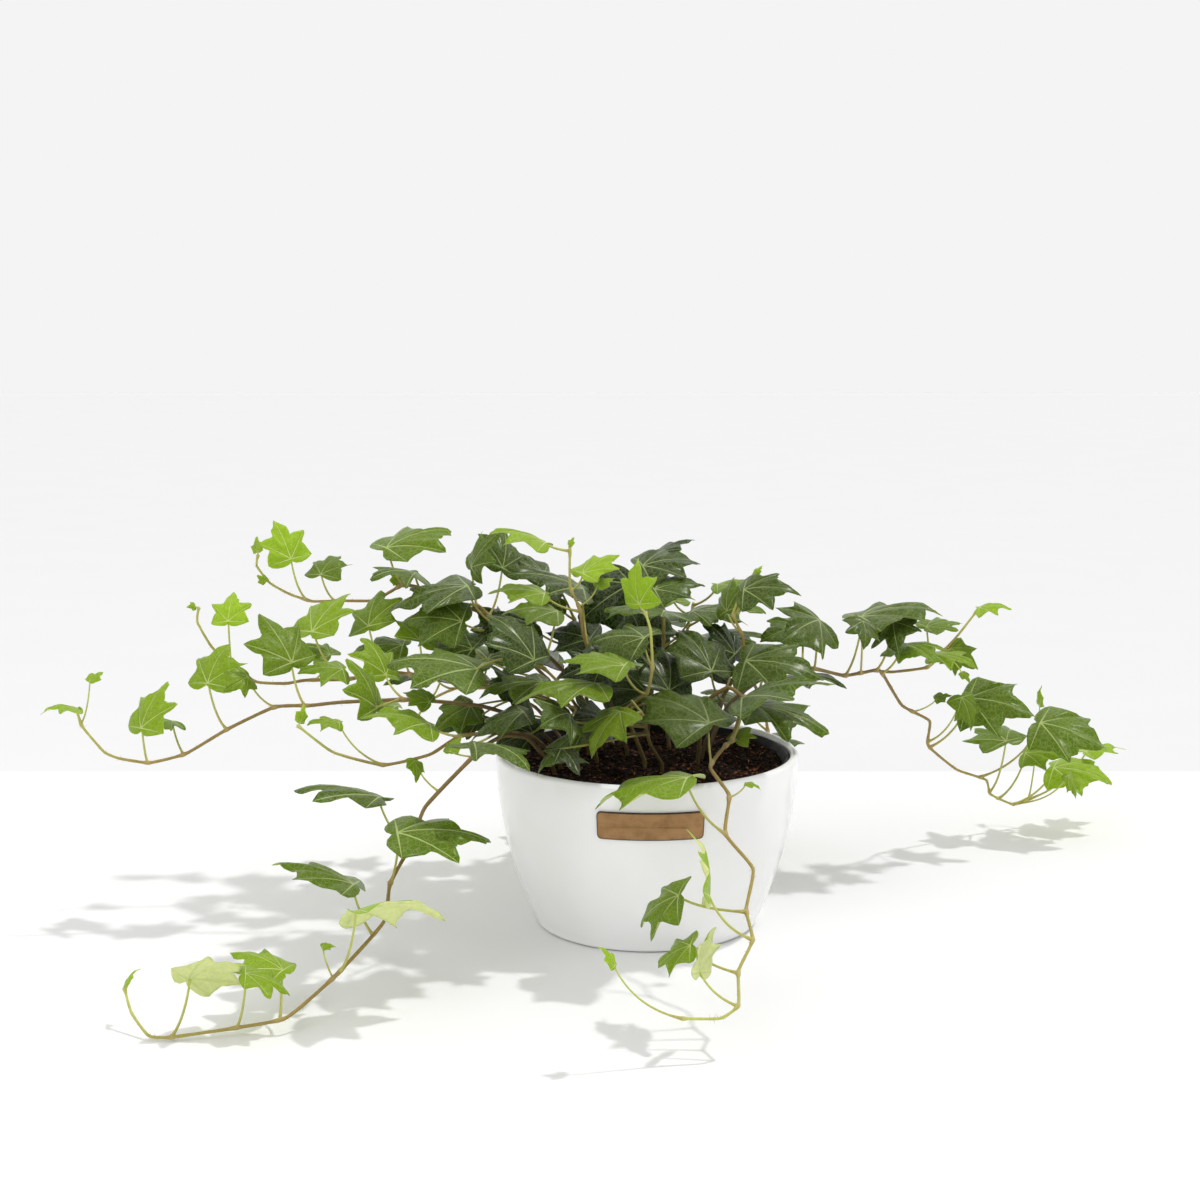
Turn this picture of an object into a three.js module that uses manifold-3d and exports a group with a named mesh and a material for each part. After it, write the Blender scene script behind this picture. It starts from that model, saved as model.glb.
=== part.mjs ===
// A trailing English ivy growing in a white bowl-shaped planter.
//
// Millimetres, +Z up. The origin is the centre of the planter's flat base, +X runs to the
// right and +Y away from the side that carries the badge. Every leafy stem is one grown
// piece: a woody stem that stands in a hole in the soil, with its leaf stalks and its
// five-lobed blades fused to it.

import * as THREE from 'three';
import { mergeVertices } from 'three/addons/utils/BufferGeometryUtils.js';
import Module from 'manifold-3d';

const wasm = await Module();
wasm.setup();

// ---------------------------------------------------------------- driving dimensions

const CLEARANCE = 0.3;

const PLANTER = {
  height: 103.5,
  baseRadius: 65.5,
  rimRadius: 90,
  wall: 5.2,
  floor: 6,
  edgeRound: 2.4,
  lipDrop: 0.35,
  lipRound: 0.175,
  outerRings: [0.16, 0.36, 0.58, 0.8],
  innerRings: [0.66, 0.34],
  sides: 36,
};

const BADGE = {
  width: 60,
  height: 16,
  thickness: 1.5,
  centreHeight: 80.5,
  cornerRadius: 2.2,
  stepsAcross: 14,
  stepsUp: 2,
  stepsRound: 3,
};

const LINER = {
  wall: 1.3,
  top: 101.2,
  bottomRadius: 58,
  lipWidth: 1.4,
  lipHeight: 4.5,
  sides: 30,
};

const SOIL = {
  level: 97,
  gap: 0.48,
  relief: 1.1,
  hillX: { rate: 0.11, shift: 1.3 },
  hillY: { rate: 0.13, shift: 0.4 },
  ripple: { share: 0.5, rateX: 0.27, rateY: 0.21 },
  rings: 2,
};

const ROOT = {
  depth: 12,
  collar: 4,
  cutAbove: 6,
  holeSides: 6,
};

const STEM = {
  rootRadius: 1.3,
  branchRadius: 1,
  tipRadius: 0.75,
  sides: 4,
};

const STALK = {
  endRadius: 0.45,
  swell: 0.4,
  sides: 3,
  longest: 30,
  bendOut: 0.7,
  bendUp: 0.25,
};

// A blade is drawn in shares of its length: u runs from the stalk to the tip, v to the side.
const BLADE = {
  thickness: 0.8,
  notch: -0.02,
  midrib: [0.18, 0.5],
  joint: [0.05, 0.012],
  fold: -0.12,
  arch: 0.4,
  youngestLobed: 16,
  lobed: [[0.64, 0.23], [0.60, 0.51], [0.34, 0.40], [0.05, 0.48]],
  bud: [[0.55, 0.18], [0.46, 0.42], [0.02, 0.34]],
};

// Leaves on the far side follow one rule. Each range is [least, most].
const GROWN = {
  lookAhead: 0.1,
  turnOut: [50, 80],
  reach: [9, 17],
  lift: [7, 16],
  lowest: 12,
  shrink: 0.45,
  longer: [0, 6],
  rise: [-10, 10],
};

const DRAW = {
  start: 7919,
  factor: 16807,
  range: 2147483647,
};

// Each leafy stem: where its root stands, the points its stem runs through, and its leaves.
// A leaf is [stem point it grows from, place of the blade's base, length, heading and rise of
// its tip in degrees, lean of its upper face towards the front in degrees].
const STEMS = [
  {
    name: 'vine_far_left',
    root: [-48, -8],
    route: [
      [-71, -8, 122], [-99, -10, 132], [-140, -12, 136], [-179, -14, 135], [-198, -14, 133],
      [-219, -14, 132], [-247, -16, 119], [-271, -18, 105], [-292, -20, 100], [-309, -22, 103],
      [-318, -22, 107], [-330, -22, 122], [-333, -22, 132],
    ],
    leaves: [
      [14.0, [-332, -22, 133], 22, -150, 0, 0],
      [13.2, [-325, -22, 149], 11, 50, 20, 20],
      [10.1, [-297, -18, 119], 34, 50, 50, 0],
      [9.1, [-283, 6, 119], 26, -120, 0, 10],
      [8.0, [-258, -14, 145], 33, 70, 40, 0],
      [7.0, [-234, -12, 150], 20, -130, -20, 50],
      [6.2, [-208, -12, 157], 40, 140, 40, 10],
      [4.1, [-155, 2, 147], 32, 130, 40, -10],
      [4.2, [-157, -32, 134], 35, 170, 60, 10],
      [3.9, [-126, -30, 138], 17, 170, 20, 30],
    ],
  },
  {
    name: 'vine_mid_left',
    root: [-35, 12],
    route: [
      [-52, 14, 127], [-88, 20, 139], [-133, 26, 142], [-153, 30, 144], [-183, 34, 139],
      [-208, 36, 138], [-220, 36, 136], [-238, 36, 137], [-253, 36, 147], [-265, 36, 159],
      [-273, 36, 174], [-272, 36, 183],
    ],
    leaves: [
      [13.0, [-274, 36, 184], 7, -130, 0, 70],
      [10.0, [-254, 34, 174], 24, 90, 40, 0],
      [6.0, [-203, 30, 168], 40, 50, 30, 0],
      [6.7, [-194, 48, 151], 24, 150, 10, 10],
      [5.9, [-182, 18, 148], 29, -160, 0, 20],
      [5.2, [-170, 44, 169], 35, 80, 30, -20],
      [4.5, [-149, 55, 156], 35, 170, -10, 20],
      [4.0, [-138, 36, 162], 30, 100, 20, -20],
      [2.4, [-104, 0, 130], 29, -160, -30, 30],
    ],
  },
  {
    name: 'vine_upper_left',
    root: [-25, 30],
    route: [
      [-46, 38, 138], [-71, 48, 161], [-102, 60, 176], [-128, 70, 184], [-144, 76, 190],
      [-153, 80, 190], [-161, 84, 185], [-172, 88, 179], [-194, 94, 178], [-212, 98, 177],
      [-227, 102, 181], [-240, 104, 188], [-248, 104, 199], [-247, 104, 206],
    ],
    leaves: [
      [15.0, [-247, 104, 208], 12, 100, 50, 40],
      [13.3, [-242, 100, 189], 8, 150, 30, 50],
      [11.3, [-225, 100, 203], 31, 130, 50, 20],
      [10.2, [-206, 94, 194], 28, 70, 20, 0],
      [6.8, [-164, 86, 212], 48, 30, 10, 10],
      [5.7, [-142, 70, 199], 36, -140, 0, 10],
      [7.3, [-155, 82, 191], 10, 140, 50, 30],
    ],
  },
  {
    name: 'vine_left_crown',
    root: [-28, 20],
    route: [
      [-60, 28, 140], [-77, 38, 156], [-90, 46, 170], [-102, 52, 181], [-109, 55, 182],
      [-120, 58, 183],
    ],
    leaves: [
      [3.9, [-107, 44, 195], 56, -170, -20, 10],
      [5.3, [-108, 62, 203], 31, -10, 50, 40],
      [4.5, [-89, 66, 202], 34, 90, 40, 40],
      [7.0, [-120, 54, 185], 12, -150, 20, 40],
      [2.0, [-105, 40, 156], 35, 150, 0, 30],
      [2.6, [-85, 60, 159], 34, 160, 40, 20],
      [1.8, [-98, 14, 121], 32, -160, -20, 30],
      [3.7, [-110, 24, 176], 38, 170, 0, 40],
    ],
  },
  {
    name: 'vine_low_left',
    root: [-52, -22],
    route: [
      [-68, -40, 121], [-88, -50, 125], [-108, -56, 124], [-124, -62, 115], [-150, -66, 110],
      [-178, -68, 118], [-197, -68, 133],
    ],
    leaves: [
      [6.0, [-174, -62, 133], 19, -170, 0, 10],
      [8.0, [-196, -68, 135], 11, 70, 60, 70],
      [4.0, [-123, -58, 131], 42, -160, 10, 10],
      [2.9, [-99, -92, 129], 46, -40, -10, -10],
    ],
  },
  {
    name: 'vine_front_left',
    root: [-55, -38],
    route: [
      [-69, -52, 122], [-82, -58, 125], [-95, -66, 119], [-124, -92, 93], [-130, -107, 77],
      [-140, -130, 61], [-142, -147, 45], [-164, -172, 25], [-187, -190, 9], [-210, -193, 5],
      [-244, -199, 2], [-256, -197, 2], [-267, -186, 10], [-272, -178, 20],
    ],
    leaves: [
      [6.2, [-148, -90, 97], 52, 170, 0, -10],
      [7.0, [-138, -126, 87], 54, 10, -10, 10],
      [8.3, [-158, -132, 60], 48, 170, 10, -10],
      [8.9, [-155, -177, 60], 50, 20, -10, -30],
      [9.1, [-173, -160, 36], 8, 30, -10, 20],
      [12.0, [-238, -186, 27], 36, -20, 20, -40],
      [10.2, [-191, -170, 26], 33, 160, 10, 0],
      [11.1, [-208, -192, 33], 26, 10, -30, 10],
      [4.7, [-132, -70, 114], 15, -80, -50, -30],
      [4.2, [-112, -70, 118], 14, 60, 30, 0],
      [15.0, [-272, -178, 21], 12, 40, 40, -20],
    ],
  },
  {
    name: 'vine_front_right',
    root: [30, -10],
    route: [
      [33, -20, 135], [46, -30, 147], [54, -40, 142], [47, -57, 123], [42, -64, 120],
      [33, -84, 113], [42, -106, 103], [39, -126, 87], [52, -150, 75], [47, -172, 60],
      [49, -190, 50], [41, -205, 39], [40, -220, 27], [31, -225, 22], [12, -228, 23],
    ],
    leaves: [
      [9.0, [21, -112, 114], 58, 170, -20, 0],
      [8.1, [51, -104, 109], 9, -10, -20, 10],
      [12.0, [27, -190, 71], 37, 120, 60, -60],
      [11.1, [13, -182, 71], 35, 140, -40, 40],
      [13.1, [18, -204, 52], 26, 150, -40, 30],
      [14.1, [21, -216, 41], 26, 10, 70, -40],
      [16.0, [-21, -236, 52], 13, 170, 50, 10],
      [6.8, [35, -58, 131], 54, 140, 10, 10],
      [5.8, [49, -54, 121], 16, 50, 20, 10],
      [5.0, [51, -54, 145], 56, -10, 10, 0],
    ],
  },
  {
    name: 'vine_upright',
    root: [34, 8],
    route: [
      [45, 12, 131], [57, 16, 151], [58, 18, 167], [52, 20, 181], [55, 22, 190],
    ],
    leaves: [
      [5.0, [57, 20, 196], 35, -10, 0, 30],
      [4.3, [49, 30, 181], 26, 70, 50, -40],
      [6.0, [66, 36, 203], 8, 30, 40, 10],
      [2.7, [57, 4, 156], 48, -10, -10, 30],
      [2.0, [38, -8, 151], 42, 120, 30, 0],
      [2.0, [55, 38, 153], 32, 160, 40, 20],
    ],
  },
  {
    name: 'vine_far_right',
    root: [38, 16],
    route: [
      [50, 28, 124], [74, 44, 139], [102, 60, 141], [126, 76, 133], [140, 86, 133],
      [152, 94, 132], [169, 112, 106], [190, 128, 92], [192, 142, 72], [215, 160, 51],
      [238, 175, 40], [243, 182, 28], [261, 192, 18], [273, 198, 20],
    ],
    leaves: [
      [4.2, [108, 56, 172], 44, -130, -10, 40],
      [3.8, [103, 90, 161], 34, -160, -10, 30],
      [5.1, [136, 86, 168], 60, 20, 0, 0],
      [5.8, [135, 60, 171], 24, -90, -40, -20],
      [6.7, [158, 86, 166], 33, -90, -30, 20],
      [7.1, [164, 92, 150], 36, -60, -10, 10],
      [8.4, [192, 120, 108], 12, 10, 10, 30],
      [9.8, [209, 122, 110], 24, -30, -70, 30],
      [10.1, [217, 144, 104], 48, -20, -10, 40],
      [11.7, [271, 168, 82], 50, -20, -20, 30],
      [12.8, [249, 160, 70], 39, 110, 0, 10],
      [13.4, [267, 190, 55], 32, -30, 0, 30],
      [14.0, [288, 196, 43], 43, -20, -10, 20],
      [14.4, [292, 166, 46], 18, -40, -70, 0],
      [15.0, [314, 210, 51], 32, 10, 0, 0],
      [15.0, [282, 212, 84], 15, 50, 80, -40],
      [2.9, [63, 6, 129], 50, -20, -20, 10],
    ],
    branch: [
      [152, 94, 132], [161, 98, 131], [184, 108, 132], [193, 112, 140], [205, 118, 151],
      [218, 124, 166],
    ],
    branchLeaves: [
      [2.4, [183, 114, 157], 28, 20, 0, 10],
      [2.0, [185, 98, 142], 30, -30, -10, 10],
      [3.2, [200, 118, 143], 24, -30, -30, 50],
      [5.0, [219, 124, 168], 22, -10, 0, 10],
      [3.0, [206, 106, 129], 9, -30, -50, 30],
    ],
  },
  {
    name: 'crown_lime_shoot',
    root: [-2, -18],
    route: [
      [-13, -30, 133], [-1, -36, 145], [2, -36, 160], [1, -32, 181], [-2, -30, 191],
    ],
    leaves: [
      [6.0, [-5, -30, 195], 27, 120, 80, 70],
      [4.0, [-1, -26, 175], 42, 150, -10, 20],
      [2.9, [-13, -54, 164], 40, 170, 0, 10],
      [2.1, [12, -16, 141], 40, 90, 30, 30],
    ],
  },
  {
    name: 'crown_tall_shoot',
    root: [-12, 10],
    route: [
      [-22, 14, 130], [-33, 18, 154], [-38, 20, 169], [-40, 22, 184], [-46, 24, 198],
      [-46, 26, 222],
    ],
    leaves: [
      [7.0, [-46, 22, 223], 6, 40, 50, 20],
      [6.8, [-60, 28, 223], 36, 170, 10, 0],
      [5.8, [-39, 24, 205], 29, 30, 20, 10],
      [5.2, [-30, 22, 198], 13, 30, 20, 20],
      [4.9, [-60, 16, 194], 35, -180, 0, 10],
      [3.2, [-37, 60, 190], 50, -170, 10, 10],
      [2.5, [-26, 10, 154], 32, -150, -10, 50],
    ],
  },
  {
    name: 'crown_front_left',
    root: [-30, -14],
    route: [
      [-37, -22, 126], [-48, -28, 145], [-60, -30, 158], [-74, -30, 166],
    ],
    leaves: [
      [5.0, [-96, -40, 159], 57, 170, 0, 10],
      [4.0, [-65, -42, 164], 40, 150, 40, 10],
      [3.0, [-28, -54, 154], 52, -160, -10, 0],
      [4.2, [-52, 0, 186], 35, -170, 0, 10],
      [3.0, [-60, -20, 148], 39, -170, -10, 10],
      [2.4, [-73, 6, 137], 35, -130, 10, 50],
      [2.2, [-66, -34, 120], 32, 140, 0, 30],
      [2.4, [-45, -70, 140], 33, -120, 0, 40],
    ],
  },
  {
    name: 'crown_front',
    root: [8, -30],
    route: [
      [1, -42, 116], [-4, -50, 135], [-10, -52, 144],
    ],
    leaves: [
      [3.2, [-16, -64, 141], 34, -130, -40, 0],
      [2.4, [-35, -56, 129], 39, -160, -40, 0],
      [2.6, [-70, -58, 139], 36, -170, -30, 10],
      [2.4, [-50, -88, 125], 24, -60, -30, -10],
      [3.0, [-24, -20, 124], 33, -130, 10, 50],
    ],
  },
  {
    name: 'crown_back_right',
    root: [14, 24],
    route: [
      [9, 34, 132], [11, 44, 162], [10, 52, 185], [6, 58, 200],
    ],
    leaves: [
      [4.6, [-3, 58, 205], 40, 20, 0, 20],
      [5.0, [4, 92, 206], 30, 10, 20, 0],
      [4.0, [4, 40, 193], 36, 20, 0, 20],
      [3.0, [13, 34, 181], 49, -140, 0, 0],
      [2.8, [28, 58, 177], 39, -30, -10, 10],
      [2.6, [-3, 44, 162], 37, 70, 30, 30],
      [2.4, [35, 40, 145], 44, 90, 10, 30],
      [4.8, [-7, 90, 190], 45, -160, -30, 50],
      [1.6, [2, 30, 131], 39, 170, 0, 40],
    ],
  },
  {
    name: 'crown_back_left',
    root: [-16, 42],
    route: [
      [-32, 54, 135], [-44, 64, 171], [-53, 70, 189],
    ],
    leaves: [
      [4.0, [-63, 88, 195], 31, 170, 20, 20],
      [3.0, [-53, 62, 184], 31, -170, -20, 20],
      [2.5, [-68, 42, 171], 36, -160, -10, 30],
      [2.5, [-33, 36, 163], 34, 150, 0, 30],
    ],
  },
  {
    name: 'vine_back_left',
    root: [-34, 50],
    route: [
      [-38, 66, 130], [-48, 86, 136], [-60, 106, 118], [-66, 124, 90], [-60, 142, 60],
      [-46, 156, 34], [-28, 168, 12], [-8, 178, 3], [14, 186, 3],
    ],
    grown: { count: 7, from: 1.6, to: 9.6, seed: 4, size: 47 },
  },
  {
    name: 'vine_back',
    root: [2, 60],
    route: [
      [6, 74, 132], [12, 94, 134], [18, 112, 110], [22, 128, 80], [14, 140, 52],
      [0, 148, 30], [-16, 152, 18],
    ],
    grown: { count: 6, from: 1.4, to: 7.6, seed: 12, size: 46 },
  },
  {
    name: 'vine_back_right',
    root: [42, 46],
    route: [
      [52, 62, 130], [64, 80, 134], [76, 98, 114], [82, 116, 86], [76, 132, 58],
      [62, 146, 34], [46, 158, 16], [30, 168, 9],
    ],
    grown: { count: 6, from: 2.2, to: 8.6, seed: 52, size: 47 },
  },
  {
    name: 'crown_rear',
    root: [20, 64],
    route: [[24, 78, 140], [28, 90, 162], [32, 98, 176]],
    grown: { count: 6, from: 1.7, to: 4, seed: 10, size: 46 },
  },
  {
    name: 'crown_rear_left',
    root: [-52, 36],
    route: [[-68, 50, 118], [-92, 66, 126], [-118, 82, 124], [-140, 102, 110], [-152, 122, 88]],
    grown: { count: 5, from: 2.4, to: 6, seed: 1, size: 42 },
  },
];

// ---------------------------------------------------------------- solids

const UP = new THREE.Vector3(0, 0, 1);
const NEARLY_UPRIGHT = 0.8;
const SAME_POINT = 1e-4;

/** A closed geometry as a solid that can be joined and cut. */
function toSolid(geometry) {
  const bare = geometry.clone();
  for (const name of Object.keys(bare.attributes)) {
    if (name !== 'position') bare.deleteAttribute(name);
  }
  const merged = mergeVertices(bare, SAME_POINT);
  const corners = merged.index.array;
  const faces = [];
  for (let i = 0; i < corners.length; i += 3) {
    const [a, b, c] = corners.slice(i, i + 3);
    if (a !== b && b !== c && c !== a) faces.push(a, b, c);
  }
  return new wasm.Manifold(new wasm.Mesh({
    numProp: 3,
    vertProperties: new Float32Array(merged.attributes.position.array),
    triVerts: new Uint32Array(faces),
  }));
}

/** A joined or cut solid as a geometry again. */
function toGeometry(solid) {
  const mesh = solid.getMesh();
  const geometry = new THREE.BufferGeometry();
  geometry.setAttribute('position', new THREE.BufferAttribute(mesh.vertProperties, 3));
  geometry.setIndex(new THREE.BufferAttribute(mesh.triVerts, 1));
  geometry.computeVertexNormals();
  return geometry;
}

/** A profile of [radius, height] points turned round the Z axis. */
function turned(profile, sides) {
  const points = profile.map(([radius, height]) => new THREE.Vector2(radius, height));
  return new THREE.LatheGeometry(points, sides).rotateX(Math.PI / 2);
}

/** An upright prism, used as a cutter. */
function uprightPrism(radius, bottom, top, sides, x, y) {
  return new THREE.CylinderGeometry(radius, radius, top - bottom, sides)
    .rotateX(Math.PI / 2)
    .translate(x, y, (top + bottom) / 2);
}

/** A round rod through a row of points, closed at both ends; radiusAt takes the share of the way. */
function rod(points, radiusAt, sides) {
  const corners = [];
  const faces = [];
  const start = points[1].clone().sub(points[0]).normalize();
  let across = Math.abs(start.z) > NEARLY_UPRIGHT ? new THREE.Vector3(1, 0, 0) : UP.clone();
  points.forEach((point, i) => {
    const before = points[Math.max(i - 1, 0)];
    const after = points[Math.min(i + 1, points.length - 1)];
    const along = after.clone().sub(before).normalize();
    across = across.clone().addScaledVector(along, -across.dot(along)).normalize();
    const beside = along.clone().cross(across);
    const radius = radiusAt(i / (points.length - 1));
    for (let k = 0; k < sides; k += 1) {
      const turn = (2 * Math.PI * k) / sides;
      const corner = point.clone()
        .addScaledVector(across, radius * Math.cos(turn))
        .addScaledVector(beside, radius * Math.sin(turn));
      corners.push(corner.x, corner.y, corner.z);
    }
  });
  const last = (points.length - 1) * sides;
  for (let ring = 0; ring < last; ring += sides) {
    for (let k = 0; k < sides; k += 1) {
      const next = (k + 1) % sides;
      faces.push(ring + k, ring + next, ring + sides + next);
      faces.push(ring + k, ring + sides + next, ring + sides + k);
    }
  }
  for (let k = 1; k < sides - 1; k += 1) {
    faces.push(0, k + 1, k);
    faces.push(last, last + k, last + k + 1);
  }
  const geometry = new THREE.BufferGeometry();
  geometry.setAttribute('position', new THREE.Float32BufferAttribute(corners, 3));
  geometry.setIndex(faces);
  return geometry;
}

// ---------------------------------------------------------------- planter, badge, liner, soil

/** Outer radius of the planter's wall: a parabola that is widest at the rim. */
function planterRadius(height) {
  const below = 1 - height / PLANTER.height;
  return PLANTER.baseRadius + (PLANTER.rimRadius - PLANTER.baseRadius) * (1 - below * below);
}

function planter() {
  const { height, wall, floor, edgeRound, outerRings, innerRings } = PLANTER;
  const shoulder = height - PLANTER.lipDrop * wall;
  const round = PLANTER.lipRound * wall;
  const rim = planterRadius(height);
  return turned([
    [0, 0],
    [planterRadius(0) - edgeRound, 0],
    [planterRadius(edgeRound), edgeRound],
    ...outerRings.map((share) => [planterRadius(share * height), share * height]),
    [rim, shoulder],
    [rim - round, height],
    [rim - wall + round, height],
    [rim - wall, shoulder],
    ...innerRings.map((share) => [planterRadius(share * height) - wall, share * height]),
    [planterRadius(floor) - wall - edgeRound, floor],
    [0, floor],
  ], PLANTER.sides);
}

/** A small plain plate, bent to the wall, with rounded corners and nothing on it. */
function badge() {
  const { width, height, thickness, centreHeight, cornerRadius } = BADGE;
  const plate = new THREE.BoxGeometry(width, thickness, height, BADGE.stepsAcross, 1, BADGE.stepsUp);
  const place = plate.attributes.position;
  for (let i = 0; i < place.count; i += 1) {
    const z = centreHeight + place.getZ(i);
    const out = planterRadius(z) + CLEARANCE + thickness / 2 - place.getY(i);
    const turn = place.getX(i) / planterRadius(centreHeight);
    place.setXYZ(i, out * Math.sin(turn), -out * Math.cos(turn), z);
  }
  const wallRadius = planterRadius(centreHeight);
  const halfWidth = wallRadius * Math.sin(width / 2 / wallRadius);
  const halfHeight = height / 2;
  const outline = new THREE.Shape();
  outline.moveTo(cornerRadius - halfWidth, -halfHeight);
  outline.lineTo(halfWidth - cornerRadius, -halfHeight);
  outline.quadraticCurveTo(halfWidth, -halfHeight, halfWidth, cornerRadius - halfHeight);
  outline.lineTo(halfWidth, halfHeight - cornerRadius);
  outline.quadraticCurveTo(halfWidth, halfHeight, halfWidth - cornerRadius, halfHeight);
  outline.lineTo(cornerRadius - halfWidth, halfHeight);
  outline.quadraticCurveTo(-halfWidth, halfHeight, -halfWidth, halfHeight - cornerRadius);
  outline.lineTo(-halfWidth, cornerRadius - halfHeight);
  outline.quadraticCurveTo(-halfWidth, -halfHeight, cornerRadius - halfWidth, -halfHeight);
  const block = new THREE.ExtrudeGeometry(outline, {
    depth: 2 * PLANTER.rimRadius,
    bevelEnabled: false,
    curveSegments: BADGE.stepsRound,
  }).rotateX(Math.PI / 2).translate(0, 0, centreHeight);
  return toGeometry(toSolid(plate).intersect(toSolid(block)));
}

/** Outer radius of the thin nursery pot's straight, tapering wall. */
function linerRadius(height) {
  const bottom = PLANTER.floor + CLEARANCE;
  const share = (height - bottom) / (LINER.top - bottom);
  const topRadius = PLANTER.rimRadius - PLANTER.wall - CLEARANCE * 2 - LINER.lipWidth;
  return THREE.MathUtils.lerp(LINER.bottomRadius, topRadius, share);
}

function liner() {
  const bottom = PLANTER.floor + CLEARANCE;
  const { wall, top, lipWidth, lipHeight } = LINER;
  return turned([
    [0, bottom],
    [linerRadius(bottom), bottom],
    [linerRadius(top - lipHeight), top - lipHeight],
    [linerRadius(top - lipHeight) + lipWidth, top - lipHeight + wall],
    [linerRadius(top) + lipWidth, top],
    [linerRadius(top) - wall, top],
    [linerRadius(top - lipHeight) - wall, top - lipHeight],
    [linerRadius(bottom + wall) - wall, bottom + wall],
    [0, bottom + wall],
  ], LINER.sides);
}

/** Height of the soil's gently uneven top at a place. */
function soilTop(x, y) {
  const { hillX, hillY, ripple } = SOIL;
  const hills = Math.sin(x * hillX.rate + hillX.shift) * Math.cos(y * hillY.rate + hillY.shift);
  const ripples = ripple.share * Math.sin(x * ripple.rateX + y * ripple.rateY);
  return SOIL.level + SOIL.relief * (hills + ripples);
}

function soil(stems) {
  const bottom = PLANTER.floor + CLEARANCE * 2 + LINER.wall;
  const inset = LINER.wall + SOIL.gap;
  const edge = linerRadius(SOIL.level) - inset;
  const profile = [[0, bottom], [linerRadius(bottom) - inset, bottom], [edge, SOIL.level]];
  for (let ring = 1; ring <= SOIL.rings; ring += 1) {
    profile.push([edge * (1 - ring / SOIL.rings), SOIL.level]);
  }
  const body = turned(profile, LINER.sides);
  const place = body.attributes.position;
  for (let i = 0; i < place.count; i += 1) {
    if (Math.abs(place.getZ(i) - SOIL.level) < SAME_POINT) {
      place.setZ(i, soilTop(place.getX(i), place.getY(i)));
    }
  }
  let solid = toSolid(body);
  for (const stem of stems) {
    const [x, y] = stem.root;
    const holeRadius = (STEM.rootRadius + CLEARANCE) / Math.cos(Math.PI / ROOT.holeSides);
    const bottomOfHole = SOIL.level - ROOT.depth - CLEARANCE;
    const topOfHole = SOIL.level + ROOT.cutAbove;
    const hole = uprightPrism(holeRadius, bottomOfHole, topOfHole, ROOT.holeSides, x, y);
    solid = solid.subtract(toSolid(hole));
  }
  return toGeometry(solid);
}

// ---------------------------------------------------------------- leafy stems

/** The same run of numbers between 0 and 1 for the same seed. */
function seededDraw(seed) {
  let state = (seed * DRAW.start) % DRAW.range;
  return () => {
    state = (state * DRAW.factor) % DRAW.range;
    return state / DRAW.range;
  };
}

/** The whole route of a stem: straight up out of its hole, then along its listed points. */
function stemRoute(stem) {
  const [x, y] = stem.root;
  return toPoints([
    [x, y, SOIL.level - ROOT.depth],
    [x, y, SOIL.level + ROOT.collar],
    ...stem.route,
  ]);
}

function toPoints(rows) {
  return rows.map((row) => new THREE.Vector3(...row));
}

/** The place on a route at a count of its points, so 2.5 is halfway from point 2 to point 3. */
function placeAt(route, count) {
  const before = Math.min(Math.floor(count), route.length - 2);
  return route[before].clone().lerp(route[before + 1], count - before);
}

/** The woody rod of a stem, which thins evenly towards its tip. */
function stemRod(route, startRadius) {
  return rod(route, (share) => THREE.MathUtils.lerp(startRadius, STEM.tipRadius, share), STEM.sides);
}

/** The three directions of a blade: along its midrib, across it, and out of its upper face. */
function bladeAxes(heading, rise, lean) {
  const turn = THREE.MathUtils.degToRad(heading);
  const climb = THREE.MathUtils.degToRad(rise);
  const tilt = THREE.MathUtils.degToRad(lean);
  const along = new THREE.Vector3(
    Math.cos(climb) * Math.cos(turn),
    Math.cos(climb) * Math.sin(turn),
    Math.sin(climb),
  );
  const upright = UP.clone().addScaledVector(along, -UP.dot(along)).normalize();
  const level = along.clone().cross(upright);
  if (level.y > 0) level.negate();
  const out = upright.multiplyScalar(Math.cos(tilt)).addScaledVector(level, Math.sin(tilt));
  const across = out.clone().cross(along);
  return { along, across, out };
}

/** One ivy blade: folded along its midrib and arched from stalk to tip. */
function blade(leaf) {
  const [, base, length, heading, rise, lean] = leaf;
  const { along, across, out } = bladeAxes(heading, rise, lean);
  const half = length < BLADE.youngestLobed ? BLADE.bud : BLADE.lobed;
  const [inner, middle] = BLADE.midrib;
  const outline = [[1, 0], ...half, [BLADE.notch, 0], ...half.map(([u, v]) => [u, -v]).reverse()];
  const flat = [...outline, [inner, 0], [middle, 0]];
  const count = outline.length;
  const notch = half.length + 1;
  const fan = count;
  const fork = count + 1;
  const face = [[fork, 0, 1], [fan, fork, 1], [fork, count - 1, 0], [fan, count - 1, fork]];
  for (let i = 1; i < notch; i += 1) {
    face.push([fan, i, i + 1]);
    face.push([fan, count - i - 1, count - i]);
  }
  const corners = [];
  for (const side of [0.5, -0.5]) {
    for (const [u, v] of flat) {
      const height = length * (BLADE.fold * Math.abs(v) + BLADE.arch * (u - u * u))
        + side * BLADE.thickness;
      const corner = new THREE.Vector3(...base)
        .addScaledVector(along, u * length)
        .addScaledVector(across, v * length)
        .addScaledVector(out, height);
      corners.push(corner.x, corner.y, corner.z);
    }
  }
  const faces = [];
  for (const [a, b, c] of face) {
    faces.push(a, b, c);
    faces.push(flat.length + a, flat.length + c, flat.length + b);
  }
  for (let i = 0; i < count; i += 1) {
    const next = (i + 1) % count;
    faces.push(i, flat.length + i, flat.length + next);
    faces.push(i, flat.length + next, next);
  }
  const geometry = new THREE.BufferGeometry();
  geometry.setAttribute('position', new THREE.Float32BufferAttribute(corners, 3));
  geometry.setIndex(faces);
  return geometry;
}

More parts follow.
